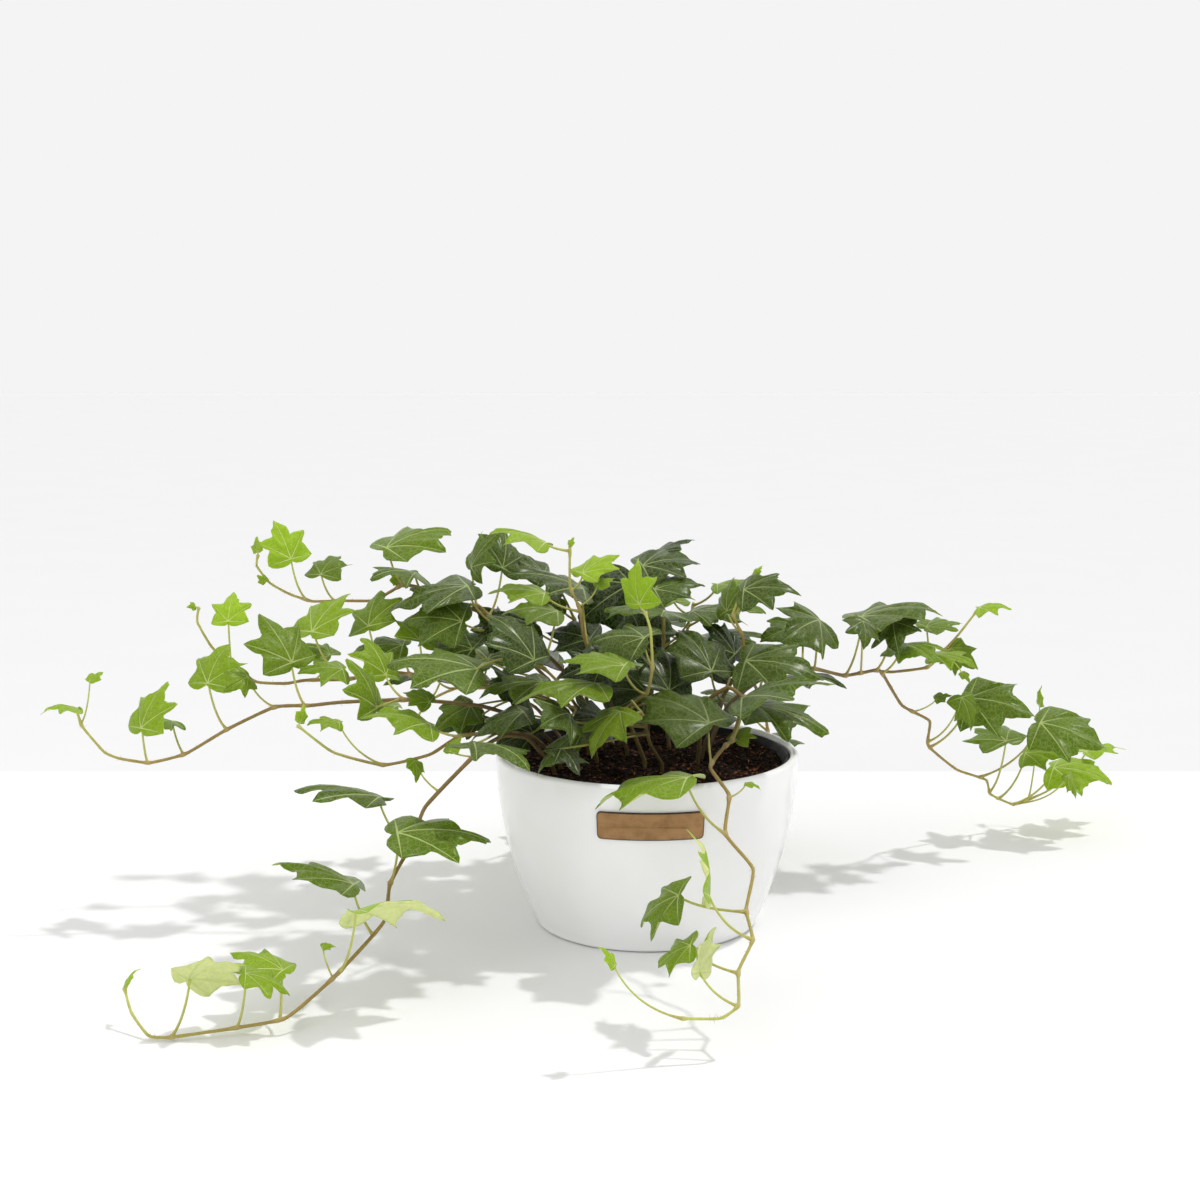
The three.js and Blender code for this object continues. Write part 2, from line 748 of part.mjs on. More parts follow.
/** A leaf stalk: it leaves the stem sideways, curves up, and ends inside the blade. */
function stalk(foot, leaf) {
  const [, base, length, heading, rise, lean] = leaf;
  const { along, out } = bladeAxes(heading, rise, lean);
  const [u, height] = BLADE.joint;
  const end = new THREE.Vector3(...base)
    .addScaledVector(along, u * length)
    .addScaledVector(out, height * length);
  const reach = end.clone().sub(foot);
  const { bendOut, bendUp } = STALK;
  const bend = foot.clone()
    .add(new THREE.Vector3(bendOut * reach.x, bendOut * reach.y, bendUp * reach.z));
  const curve = new THREE.QuadraticBezierCurve3(foot, bend, end);
  const steps = reach.length() > STALK.longest ? 3 : 2;
  const radiusAt = (share) => STALK.endRadius + STALK.swell * Math.sin(Math.PI * share);
  return rod(curve.getPoints(steps), radiusAt, STALK.sides);
}

/** The value at a share of the way through a [least, most] range. */
function between([least, most], share) {
  return THREE.MathUtils.lerp(least, most, share);
}

/** Leaves for a stretch of stem that has none listed: alternate ones, by a seeded draw. */
function grownLeaves(route, { count, from, to, seed, size }) {
  const draw = seededDraw(seed);
  const leaves = [];
  for (let i = 0; i < count; i += 1) {
    const place = from + ((to - from) * (i + 0.5)) / count;
    const here = placeAt(route, place);
    const ahead = placeAt(route, place + GROWN.lookAhead).sub(here);
    const travel = THREE.MathUtils.radToDeg(Math.atan2(ahead.y, ahead.x));
    const side = i % 2 === 0 ? 1 : -1;
    const heading = travel + side * between(GROWN.turnOut, draw());
    const reach = between(GROWN.reach, draw());
    const turn = THREE.MathUtils.degToRad(heading);
    const base = [
      here.x + reach * Math.cos(turn),
      here.y + reach * Math.sin(turn),
      Math.max(here.z + between(GROWN.lift, draw()), GROWN.lowest),
    ];
    const length = size * (1 - GROWN.shrink * (i / count)) + between(GROWN.longer, draw());
    leaves.push([place, base, length, heading, between(GROWN.rise, draw()), 0]);
  }
  return leaves;
}

/** A stem, its side branch if it has one, and its leaves, fused to one body. */
function leafyStem(stem) {
  const route = stemRoute(stem);
  let body = toSolid(stemRod(route, STEM.rootRadius));
  const leaves = stem.leaves ? [...stem.leaves] : [];
  if (stem.grown) leaves.push(...grownLeaves(route, stem.grown));
  const carried = leaves.map((leaf) => [placeAt(route, leaf[0]), leaf]);
  if (stem.branch) {
    const branch = toPoints(stem.branch);
    body = body.add(toSolid(stemRod(branch, STEM.branchRadius)));
    carried.push(...stem.branchLeaves.map((leaf) => [placeAt(branch, leaf[0]), leaf]));
  }
  for (const [foot, leaf] of carried) {
    body = body.add(toSolid(stalk(foot, leaf)));
    body = body.add(toSolid(blade(leaf)));
  }
  return toGeometry(body);
}

// ---------------------------------------------------------------- assembly

const FINISHES = {
  glaze: { color: 0xf4f3f0, roughness: 0.12, metalness: 0 },
  agedBrass: { color: 0xa07c50, roughness: 0.4, metalness: 0.9 },
  blackPlastic: { color: 0x191919, roughness: 0.5, metalness: 0 },
  pottingSoil: { color: 0x2f2119, roughness: 1, metalness: 0 },
  ivy: { color: 0x45702f, roughness: 0.45, metalness: 0 },
};

function piece(name, geometry, finish) {
  const mesh = new THREE.Mesh(geometry, new THREE.MeshStandardMaterial(finish));
  mesh.name = name;
  return mesh;
}

const pottedIvy = new THREE.Group();
pottedIvy.add(piece('planter', planter(), FINISHES.glaze));
pottedIvy.add(piece('badge', badge(), FINISHES.agedBrass));
pottedIvy.add(piece('liner_pot', liner(), FINISHES.blackPlastic));
pottedIvy.add(piece('soil', soil(STEMS), FINISHES.pottingSoil));
for (const stem of STEMS) {
  pottedIvy.add(piece(stem.name, leafyStem(stem), FINISHES.ivy));
}

export default pottedIvy;
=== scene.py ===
"""A trailing English ivy in a white bowl-shaped planter with a small bare metal plate.

Sizes are in millimetres and angles in degrees where a name says nothing else; every mesh is
written in metres, in the frame of the solids that it is built around: +X to the right, -Y
towards the side with the plate, +Z up, and the origin at the centre of the planter's base.
"""

from __future__ import annotations

import logging
import math
from dataclasses import dataclass, field
from enum import Enum
from typing import NamedTuple, Sequence

import bpy
import numpy as np
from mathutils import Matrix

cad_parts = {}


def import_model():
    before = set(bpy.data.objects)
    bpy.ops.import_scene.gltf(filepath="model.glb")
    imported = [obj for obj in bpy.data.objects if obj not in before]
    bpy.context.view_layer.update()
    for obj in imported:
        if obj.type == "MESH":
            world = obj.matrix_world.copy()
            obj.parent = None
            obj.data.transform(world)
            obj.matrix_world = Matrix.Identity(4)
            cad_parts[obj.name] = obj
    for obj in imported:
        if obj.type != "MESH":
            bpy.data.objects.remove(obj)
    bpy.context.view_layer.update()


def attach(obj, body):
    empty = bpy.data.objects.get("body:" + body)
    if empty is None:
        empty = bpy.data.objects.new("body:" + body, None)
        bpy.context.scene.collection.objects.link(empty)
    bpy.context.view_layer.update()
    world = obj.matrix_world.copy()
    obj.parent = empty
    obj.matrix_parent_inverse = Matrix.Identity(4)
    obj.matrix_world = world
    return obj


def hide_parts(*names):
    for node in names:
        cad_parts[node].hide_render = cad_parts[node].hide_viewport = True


log = logging.getLogger("potted_ivy")

Pair = tuple[float, float]
Point = tuple[float, float, float]
Colour = tuple[float, float, float, float]

MM = 0.001
BODY = "root"


# ---------------------------------------------------------------- shader maths


def tone(*shares: float) -> Colour:
    """A screen colour as the linear colour that a shader takes.

    Args:
        shares: Its red, green and blue, 0 to 255.

    Returns:
        The linear colour with full alpha.
    """
    parts = np.array(shares) / 255
    linear = np.where(parts <= 0.04045, parts / 12.92, ((parts + 0.055) / 1.055) ** 2.4)
    return (*linear.tolist(), 1.0)


class Value:
    """A node's output socket that takes part in Python sums."""

    def __init__(self, painter: Painter, socket: bpy.types.NodeSocket) -> None:
        """Keeps the socket and the painter whose nodes it belongs to."""
        self.painter, self.socket = painter, socket

    def math(self, operation: str, *others: Value | float) -> Value:
        """A Math node on this value and then the others, which are values or numbers."""
        operands = dict(enumerate((self, *others)))
        return self.painter.add("Math", {"operation": operation}, operands)

    def swapped(self, operation: str, first: float) -> Value:
        """A Math node on a number and then this value."""
        return self.painter.add("Math", {"operation": operation}, {0: first, 1: self})

    def __add__(self, other: Value | float) -> Value:
        """This plus the other."""
        return self.math("ADD", other)

    def __radd__(self, other: float) -> Value:
        """A number plus this."""
        return self.swapped("ADD", other)

    def __sub__(self, other: Value | float) -> Value:
        """This minus the other."""
        return self.math("SUBTRACT", other)

    def __rsub__(self, other: float) -> Value:
        """A number minus this."""
        return self.swapped("SUBTRACT", other)

    def __mul__(self, other: Value | float) -> Value:
        """This times the other."""
        return self.math("MULTIPLY", other)

    def __rmul__(self, other: float) -> Value:
        """A number times this."""
        return self.swapped("MULTIPLY", other)

    def __truediv__(self, other: Value | float) -> Value:
        """This divided by the other."""
        return self.math("DIVIDE", other)

    def __rtruediv__(self, other: float) -> Value:
        """A number divided by this."""
        return self.swapped("DIVIDE", other)

    def __abs__(self) -> Value:
        """This without its sign."""
        return self.math("ABSOLUTE")

    def least(self, other: Value | float) -> Value:
        """The smaller of this and the other."""
        return self.math("MINIMUM", other)

    def most(self, other: Value | float) -> Value:
        """The larger of this and the other."""
        return self.math("MAXIMUM", other)

    def below(self, other: Value | float) -> Value:
        """1 where this is less than the other, and else 0."""
        return self.math("LESS_THAN", other)

    def part(self, axis: str) -> Value:
        """One axis of a place, "X", "Y" or "Z"."""
        return self.painter.add("SeparateXYZ", None, {0: self}, axis)

    def eased(self, low: float, high: float) -> Value:
        """A soft step.

        Args:
            low: Where it is 0.
            high: Where it is 1, which may lie below the other end.

        Returns:
            The step, smooth at both ends.
        """
        start, end = sorted((low, high))
        results = {"To Min": float(low > high), "To Max": float(low < high)}
        sockets = {"Value": self, "From Min": start, "From Max": end, **results}
        return self.painter.add("MapRange", {"interpolation_type": "SMOOTHSTEP"}, sockets)


class Painter:
    """The nodes of a material or of the sky, with a shader at their end."""

    def __init__(self, name: str, sky: bool = False) -> None:
        """Makes an empty material, or a sky, with its shader and output.

        Args:
            name: Its name.
            sky: Whether it is a sky.
        """
        kinds = ("Background", "OutputWorld") if sky else ("BsdfPrincipled", "OutputMaterial")
        self.owner = (bpy.data.worlds if sky else bpy.data.materials).new(name)
        self.owner.use_nodes = True
        self.tree = self.owner.node_tree
        self.tree.nodes.clear()
        self.shader, output = (self.tree.nodes.new(f"ShaderNode{kind}") for kind in kinds)
        self.tree.links.new(self.shader.outputs[0], output.inputs["Surface"])

    def add(
        self,
        kind: str,
        settings: dict[str, object] | None = None,
        sockets: dict[int | str, object] | None = None,
        result: int | str = 0,
    ) -> Value:
        """Adds a node.

        Args:
            kind: The node's type, as it goes on after "ShaderNode".
            settings: Its properties, set before its sockets; "stops" are a ramp's (place, colour).
            sockets: Numbers, colours or values for its input sockets, by name or index.
            result: The output socket to give back.

        Returns:
            That output.
        """
        node = self.tree.nodes.new(f"ShaderNode{kind}")
        for name, setting in (settings or {}).items():
            if name == "stops":
                self._set_stops(node.color_ramp, setting)
            else:
                setattr(node, name, setting)
        for key, value in (sockets or {}).items():
            self.feed(node.inputs[key], value)
        return Value(self, node.outputs[result])

    @staticmethod
    def _set_stops(ramp: bpy.types.ColorRamp, stops: Sequence[tuple[float, Colour]]) -> None:
        """Gives a colour ramp its stops.

        Args:
            ramp: The ramp.
            stops: Its (place, colour) pairs, in rising order.
        """
        while len(ramp.elements) < len(stops):
            ramp.elements.new(1.0)
        for element, (place, colour) in zip(ramp.elements, stops):
            element.position, element.color = place, colour

    def feed(self, socket: bpy.types.NodeSocket, value: object) -> None:
        """Links a value to a socket, or sets a number or colour on it.

        Args:
            socket: The input socket.
            value: The value, number or colour.
        """
        if isinstance(value, Value):
            self.tree.links.new(value.socket, socket)
        else:
            socket.default_value = value

    def attribute(self, name: str) -> Value:
        """A number that the mesh carries at its points."""
        return self.add("Attribute", {"attribute_name": name}, result="Fac")

    def place(self) -> Value:
        """The place on the object, in metres."""
        return self.add("TexCoord", result="Object")

    def noise(self, scale: float, detail: float = 2.0, at: Value | None = None) -> Value:
        """Cloudy noise around 0.5.

        Args:
            scale: Clouds per metre, or per unit of the place that is given.
            detail: How many finer layers it has.
            at: Where it is read; the place on the object if left out.

        Returns:
            The noise value.
        """
        sockets = {"Vector": at or self.place(), "Scale": scale, "Detail": detail}
        return self.add("TexNoise", None, sockets)

    def blend(self, share: Value | float, first: Value | Colour, second: Value | Colour) -> Value:
        """The first colour where the share is 0, and the second where it is 1."""
        return self.add("Mix", {"data_type": "RGBA"}, {0: share, 6: first, 7: second}, 2)

    def ramp(self, share: Value, *stops: tuple[float, Colour]) -> Value:
        """The colour of a ramp at a share of its length."""
        return self.add("ValToRGB", {"stops": stops}, {0: share})

    def shaded(self, colour: Value, brightness: Value | float) -> Value:
        """A colour made brighter or darker, by a factor around 1."""
        grey = self.add("CombineXYZ", None, dict.fromkeys(range(3), brightness))
        return self.add("VectorMath", {"operation": "MULTIPLY"}, {0: colour, 1: grey})

    def bump(self, height: Value, distance: float, strength: float = 1.0) -> Value:
        """A relief for the Normal socket, whose height 1 is a distance in metres."""
        sockets = {"Height": height, "Distance": distance, "Strength": strength}
        return self.add("Bump", None, sockets)

    def finish(self, sockets: dict[str, object]) -> bpy.types.Material | bpy.types.World:
        """Sets the shader's own sockets.

        Args:
            sockets: What the shader's sockets get, by name.

        Returns:
            The material or the sky.
        """
        for name, value in sockets.items():
            self.feed(self.shader.inputs[name], value)
        return self.owner


# ---------------------------------------------------------------- meshes


@dataclass
class Patch:
    """Points with faces, a UV place for each point, and marks that the materials read."""

    points: np.ndarray
    faces: list[np.ndarray]
    marks: dict[str, np.ndarray] = field(default_factory=dict)
    uv: np.ndarray | None = None


def unit(vectors: np.ndarray) -> np.ndarray:
    """The vectors, each made 1 long."""
    return vectors / np.linalg.norm(vectors, axis=-1, keepdims=True)


def full_turn(sides: int) -> np.ndarray:
    """The angles of even steps round a circle."""
    return np.linspace(0, 2 * math.pi, sides, endpoint=False)


def distances(path: np.ndarray) -> np.ndarray:
    """How far along a path each of its points lies."""
    return np.concatenate([[0.0], np.cumsum(np.linalg.norm(np.diff(path, axis=0), axis=1))])


def curve(radius: np.ndarray, height: np.ndarray) -> np.ndarray:
    """Rows of radius and height, as a profile has them."""
    return np.stack([radius, height], axis=1)


def per_point(values: np.ndarray, columns: int) -> np.ndarray:
    """A value for each ring of a closed band as a value for each of its points."""
    return np.concatenate([np.repeat(values, columns), values[[0, -1]]])


def link_object(data: bpy.types.ID) -> bpy.types.Object:
    """Puts a mesh, a light or a camera into the scene, under its own name.

    Args:
        data: The mesh, light or camera.

    Returns:
        Its object, at the origin.
    """
    made = bpy.data.objects.new(data.name, data)
    bpy.context.scene.collection.objects.link(made)
    return made


def band_faces(rows: int, columns: int) -> np.ndarray:
    """Quads between rows of points that each close on themselves.

    Face (i, j) joins points j and j + 1 of row i to the same ones of row i + 1.

    Args:
        rows: The number of rows.
        columns: The points in a row.

    Returns:
        The quads, turned outwards where rows run along +T and columns run round it.
    """
    row = np.arange(rows - 1)[:, None] * columns
    here = np.arange(columns)[None, :]
    ahead = (here + 1) % columns
    quads = [row + here, row + ahead, row + columns + ahead, row + columns + here]
    return np.stack(quads, axis=-1).reshape(-1, 4)


def fan_faces(pole: int, first: int, columns: int, flipped: bool) -> np.ndarray:
    """Triangles from a pole to a row that closes on itself.

    Args:
        pole: The index of the pole.
        first: The index of the row's first point.
        columns: The points in the row.
        flipped: Whether the triangles turn the other way.

    Returns:
        The triangles.
    """
    here = np.arange(columns)
    ahead = (here + 1) % columns
    pair = (ahead, here) if flipped else (here, ahead)
    return np.stack([np.full(columns, pole), first + pair[0], first + pair[1]], axis=-1)


def closed_band(rings: np.ndarray, start: np.ndarray, end: np.ndarray) -> Patch:
    """A closed skin over rings of points, with a pole at each end.

    Args:
        rings: Points as (rows, columns, 3).
        start: The pole before the first ring.
        end: The pole after the last ring.

    Returns:
        The skin, with marks "way" from 0 at the start to 1 at the end.
    """
    rows, columns = rings.shape[:2]
    points = np.concatenate([rings.reshape(-1, 3), start[None], end[None]])
    poles = rows * columns
    faces = [
        band_faces(rows, columns),
        fan_faces(poles, 0, columns, flipped=True),
        fan_faces(poles + 1, (rows - 1) * columns, columns, flipped=False),
    ]
    return Patch(points, faces, {"way": per_point(np.linspace(0, 1, rows), columns)})


def turned(profile: np.ndarray, sides: int) -> Patch:
    """A profile turned round the Z axis: the point at angle a is (r cos a, r sin a, z).

    Args:
        profile: Rows of radius and height; the first and the last lie on the axis.
        sides: The steps round.

    Returns:
        The closed skin.
    """
    angle = full_turn(sides)
    radius, height = profile[1:-1, 0, None], profile[1:-1, 1, None]
    rings = [radius * np.cos(angle), radius * np.sin(angle), height + 0 * angle]
    start, end = (np.array([0, 0, profile[row, 1]]) for row in (0, -1))
    return closed_band(np.stack(rings, axis=-1), start, end)


def arc(centre: Pair, radius: float, start: float, end: float, steps: int) -> np.ndarray:
    """Points of a circle in a profile.

    Args:
        centre: Its distance from the axis and its height.
        radius: The circle's radius.
        start: The first angle in degrees, from outwards towards up.
        end: The last angle.
        steps: The number of points.

    Returns:
        Rows of radius and height.
    """
    angle = np.radians(np.linspace(start, end, steps))
    return centre + radius * curve(np.cos(angle), np.sin(angle))


def best_sideways(along: np.ndarray, count: int = 48) -> np.ndarray:
    """A direction that a path never runs close to, out of a fixed set spread over a half sphere.

    Direction k has the height 1 - (k + 0.5) / count and lies a golden turn past the one before.

    Args:
        along: The path's directions.
        count: How many directions are tried.

    Returns:
        The direction that stays furthest from them.
    """
    share = (np.arange(count) + 0.5) / count
    turn = math.pi * (1 + math.sqrt(5)) * np.arange(count)
    flat = np.sqrt(1 - (1 - share) ** 2)
    spread = np.stack([flat * np.cos(turn), flat * np.sin(turn), 1 - share], axis=1)
    clear = np.linalg.norm(np.cross(spread[:, None, :], along[None]), axis=2).min(axis=1)
    return spread[int(clear.argmax())]


def tube(path: np.ndarray, radii: np.ndarray, sides: int) -> Patch:
    """A round rod: ring k is c + r (n cos a + b sin a), with n and b square to the path.

    Args:
        path: The centre line, as (rows, 3).
        radii: The radius at each of its points.
        sides: The steps round.

    Returns:
        The closed skin.
    """
    along = unit(np.gradient(path, axis=0))
    normal = unit(np.cross(along, best_sideways(along)))
    beside = np.cross(along, normal)
    angle = full_turn(sides)[None, :, None]
    spokes = normal[:, None] * np.cos(angle) + beside[:, None] * np.sin(angle)
    rings = path[:, None] + radii[:, None, None] * spokes
    start = path[0] - 0.4 * radii[0] * along[0]
    end = path[-1] + 0.8 * radii[-1] * along[-1]
    return closed_band(rings, start, end)


def hermite(
    t: np.ndarray, start: np.ndarray, end: np.ndarray, leaving: np.ndarray, arriving: np.ndarray
) -> np.ndarray:
    """Hermite's cubic: the curve from one point to another that has a given way at each.

    It is (2t^3 - 3t^2 + 1) start + (t^3 - 2t^2 + t) leaving + (3t^2 - 2t^3) end
    + (t^3 - t^2) arriving.

    Args:
        t: Shares of the way, 0 to 1.
        start: The first point.
        end: The last point.
        leaving: The way at the first point.
        arriving: The way at the last point.

    Returns:
        The points.
    """
    square, cube = t**2, t**3
    return (
        (2 * cube - 3 * square + 1) * start
        + (cube - 2 * square + t) * leaving
        + (3 * square - 2 * cube) * end
        + (cube - square) * arriving
    )


def make_piece(
    name: str, patches: Sequence[Patch], material: bpy.types.Material, slot: str, *nodes: str
) -> bpy.types.Object:
    """Joins patches to one mesh object that rides on the body and stands for its solids.

    Args:
        name: The piece's name.
        patches: What it is made of, in millimetres.
        material: Its material.
        slot: The record's material slot, which is only named in the log.
        nodes: The nodes that it stands for.

    Returns:
        The object, at the origin.
    """
    sizes = [len(patch.points) for patch in patches]
    faces: list[list[int]] = []
    for start, patch in zip(np.cumsum([0] + sizes), patches):
        for block in patch.faces:
            faces += (block + int(start)).tolist()
    mesh = bpy.data.meshes.new(name)
    points = np.concatenate([patch.points for patch in patches]) * MM
    mesh.from_pydata(points.tolist(), [], faces)
    mesh.polygons.foreach_set("use_smooth", np.ones(len(faces), bool))
    for mark in sorted({mark for patch in patches for mark in patch.marks}):
        values = [patch.marks.get(mark, np.zeros(size)) for patch, size in zip(patches, sizes)]
        layer = mesh.attributes.new(mark, "FLOAT", "POINT")
        layer.data.foreach_set("value", np.concatenate(values).astype(np.float32))
    if patches[0].uv is not None:
        places = np.concatenate([patch.uv for patch in patches])
        corners = np.zeros(len(mesh.loops), np.int32)
        mesh.loops.foreach_get("vertex_index", corners)
        layer = mesh.uv_layers.new(name="UVMap")
        layer.data.foreach_set("uv", places[corners].astype(np.float32).ravel())
    mesh.materials.append(material)
    mesh.validate()
    mesh.update()
    piece = link_object(mesh)
    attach(piece, BODY)
    if nodes:
        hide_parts(*nodes)
    log.info("%s: %d faces, slot %s", name, len(faces), slot)
    return piece


# ---------------------------------------------------------------- finishes


@dataclass(frozen=True)
class Glaze:
    """White glazed earthenware: an almost even white under a clear coat with slow waves."""

    white: Colour = tone(244, 244, 244)
    shade: Colour = tone(239, 239, 237)
    speck: Colour = tone(190, 186, 178)
    roughness: Pair = (0.13, 0.22)
    wave_height: float = 0.00035

    def material(self) -> bpy.types.Material:
        """Makes the material.

        Returns:
            The material.
        """
        painter = Painter("white_glaze")
        cloud = painter.noise(14.0, 3.0)
        colour = painter.blend(cloud.eased(0.35, 0.7), self.white, self.shade)
        specks = painter.noise(1900.0, 1.0).eased(0.72, 0.78)
        colour = painter.blend(specks * 0.12, colour, self.speck)
        low, high = self.roughness
        smear = painter.noise(60.0, 4.0).eased(0.3, 0.75)
        relief = painter.noise(26.0, 1.0) + 0.03 * painter.noise(700.0, 2.0)
        return painter.finish({
            "Base Color": colour,
            "Roughness": low + smear * (high - low),
            "Normal": painter.bump(relief, self.wave_height),
            "Coat Weight": 0.35,
            "Coat Roughness": 0.08,
            "IOR": 1.5,
        })


@dataclass(frozen=True)
class AgedBrass:
    """Brushed brass gone brown, darker towards the plate's edge and in small stains."""

    face: Colour = tone(164, 128, 88)
    brown: Colour = tone(120, 88, 56)
    edge: Colour = tone(58, 38, 24)
    roughness: float = 0.42
    brush_scale: Point = (60.0, 60.0, 2600.0)
    brush_depth: float = 0.00004

    def material(self) -> bpy.types.Material:
        """Makes the material.

        Returns:
            The material.
        """
        painter = Painter("aged_brass")
        across = painter.add(
            "Mapping", None, {"Vector": painter.place(), "Scale": self.brush_scale}
        )
        brushing = painter.noise(1.0, 3.0, across)
        stain = painter.noise(160.0, 3.0).eased(0.35, 0.75)
        colour = painter.blend(stain * 0.55, self.face, self.brown)
        colour = painter.shaded(colour, 0.8 + 0.4 * brushing)
        rim = painter.attribute("rim")
        colour = painter.blend(rim.eased(0.2, 0.9), colour, self.edge)
        return painter.finish({
            "Base Color": colour,
            "Metallic": 0.85 - 0.35 * rim,
            "Roughness": self.roughness + 0.16 * brushing + 0.15 * rim,
            "Normal": painter.bump(brushing, self.brush_depth),
        })


@dataclass(frozen=True)
class BlackPlastic:
    """Moulded black plastic with a fine grain and patches of a little dried soil."""

    black: Colour = tone(17, 18, 17)
    dust: Colour = tone(52, 42, 32)
    grain_depth: float = 0.00006

    def material(self) -> bpy.types.Material:
        """Makes the material.

        Returns:
            The material.
        """
        painter = Painter("black_plastic")
        dust = painter.noise(90.0, 5.0).eased(0.52, 0.75)
        grain = painter.noise(2500.0, 2.0)
        return painter.finish({
            "Base Color": painter.blend(dust * 0.55, self.black, self.dust),
            "Roughness": 0.42 + 0.3 * dust,
            "Normal": painter.bump(grain, self.grain_depth),
            "Specular IOR Level": 0.2,
        })


@dataclass(frozen=True)
class PottingSoil:
    """Dark damp peat between crumbs and fibres; "tint" runs from peat to light bark."""

    damp: Colour = tone(14, 9, 5)
    peat: Colour = tone(32, 20, 12)
    bark: Colour = tone(116, 70, 46)
    fibre: Colour = tone(172, 124, 88)
    crumb_depth: float = 0.0012

    def material(self) -> bpy.types.Material:
        """Makes the material.

        Returns:
            The material.
        """
        painter = Painter("potting_soil")
        fine = painter.noise(900.0, 5.0)
        coarse = painter.noise(170.0, 4.0)
        tint = painter.attribute("tint") + (fine - 0.5) * 0.5 + (coarse - 0.5) * 0.3
        stops = (0.0, self.damp), (0.35, self.peat), (0.72, self.bark), (1.0, self.fibre)
        return painter.finish({
            "Base Color": painter.ramp(tint, *stops),
            "Roughness": 0.8 + 0.2 * fine,
            "Normal": painter.bump(fine + coarse, self.crumb_depth),
            "Specular IOR Level": 0.15,
        })


def painted_crown_shade(painter: Painter) -> Value:
    """How deep a place lies in the crown, for painted shade: colours are darkened by it there,
    standing in for the shade deep inside the plant.

    It is 1 low down in the middle of the plant, and falls softly to 0 at 13 cm from its axis and
    at 18.5 cm of height.

    Args:
        painter: The material's painter.

    Returns:
        The depth, 0 to 1.
    """
    x, y, z = (painter.place().part(axis) for axis in "XYZ")
    return (x * x + y * y).eased(0.13**2, 0.07**2) * z.eased(0.185, 0.125)


@dataclass(frozen=True)
class StemBark:
    """Stem skin: brown and faintly ridged where it is old, tan to green where "ripe" nears 1."""

    old: Colour = tone(100, 76, 42)
    tan: Colour = tone(158, 136, 70)
    green: Colour = tone(192, 200, 104)
    scar: Colour = tone(196, 176, 120)
    ridge_depth: float = 0.0002

    def material(self) -> bpy.types.Material:
        """Makes the material.

        Returns:
            The material.
        """
        painter = Painter("stem_bark")
        flecks = painter.noise(520.0, 4.0)
        share = painter.attribute("ripe") + (flecks - 0.5) * 0.35
        colour = painter.ramp(share, (0.0, self.old), (0.5, self.tan), (1.0, self.green))
        colour = painter.shaded(colour, 0.82 + 0.36 * painter.noise(1600.0, 3.0))
        colour = painter.blend(painter.attribute("joint") * 0.6, colour, self.scar)
        return painter.finish({
            # Painted shade: stems deep in the crown are coloured up to 45 % darker.
            "Base Color": painter.shaded(colour, 1 - 0.45 * painted_crown_shade(painter)),
            "Roughness": 0.5 + 0.2 * flecks,
            "Normal": painter.bump(painter.noise(1300.0, 3.0), self.ridge_depth),
            "Specular IOR Level": 0.4,
        })


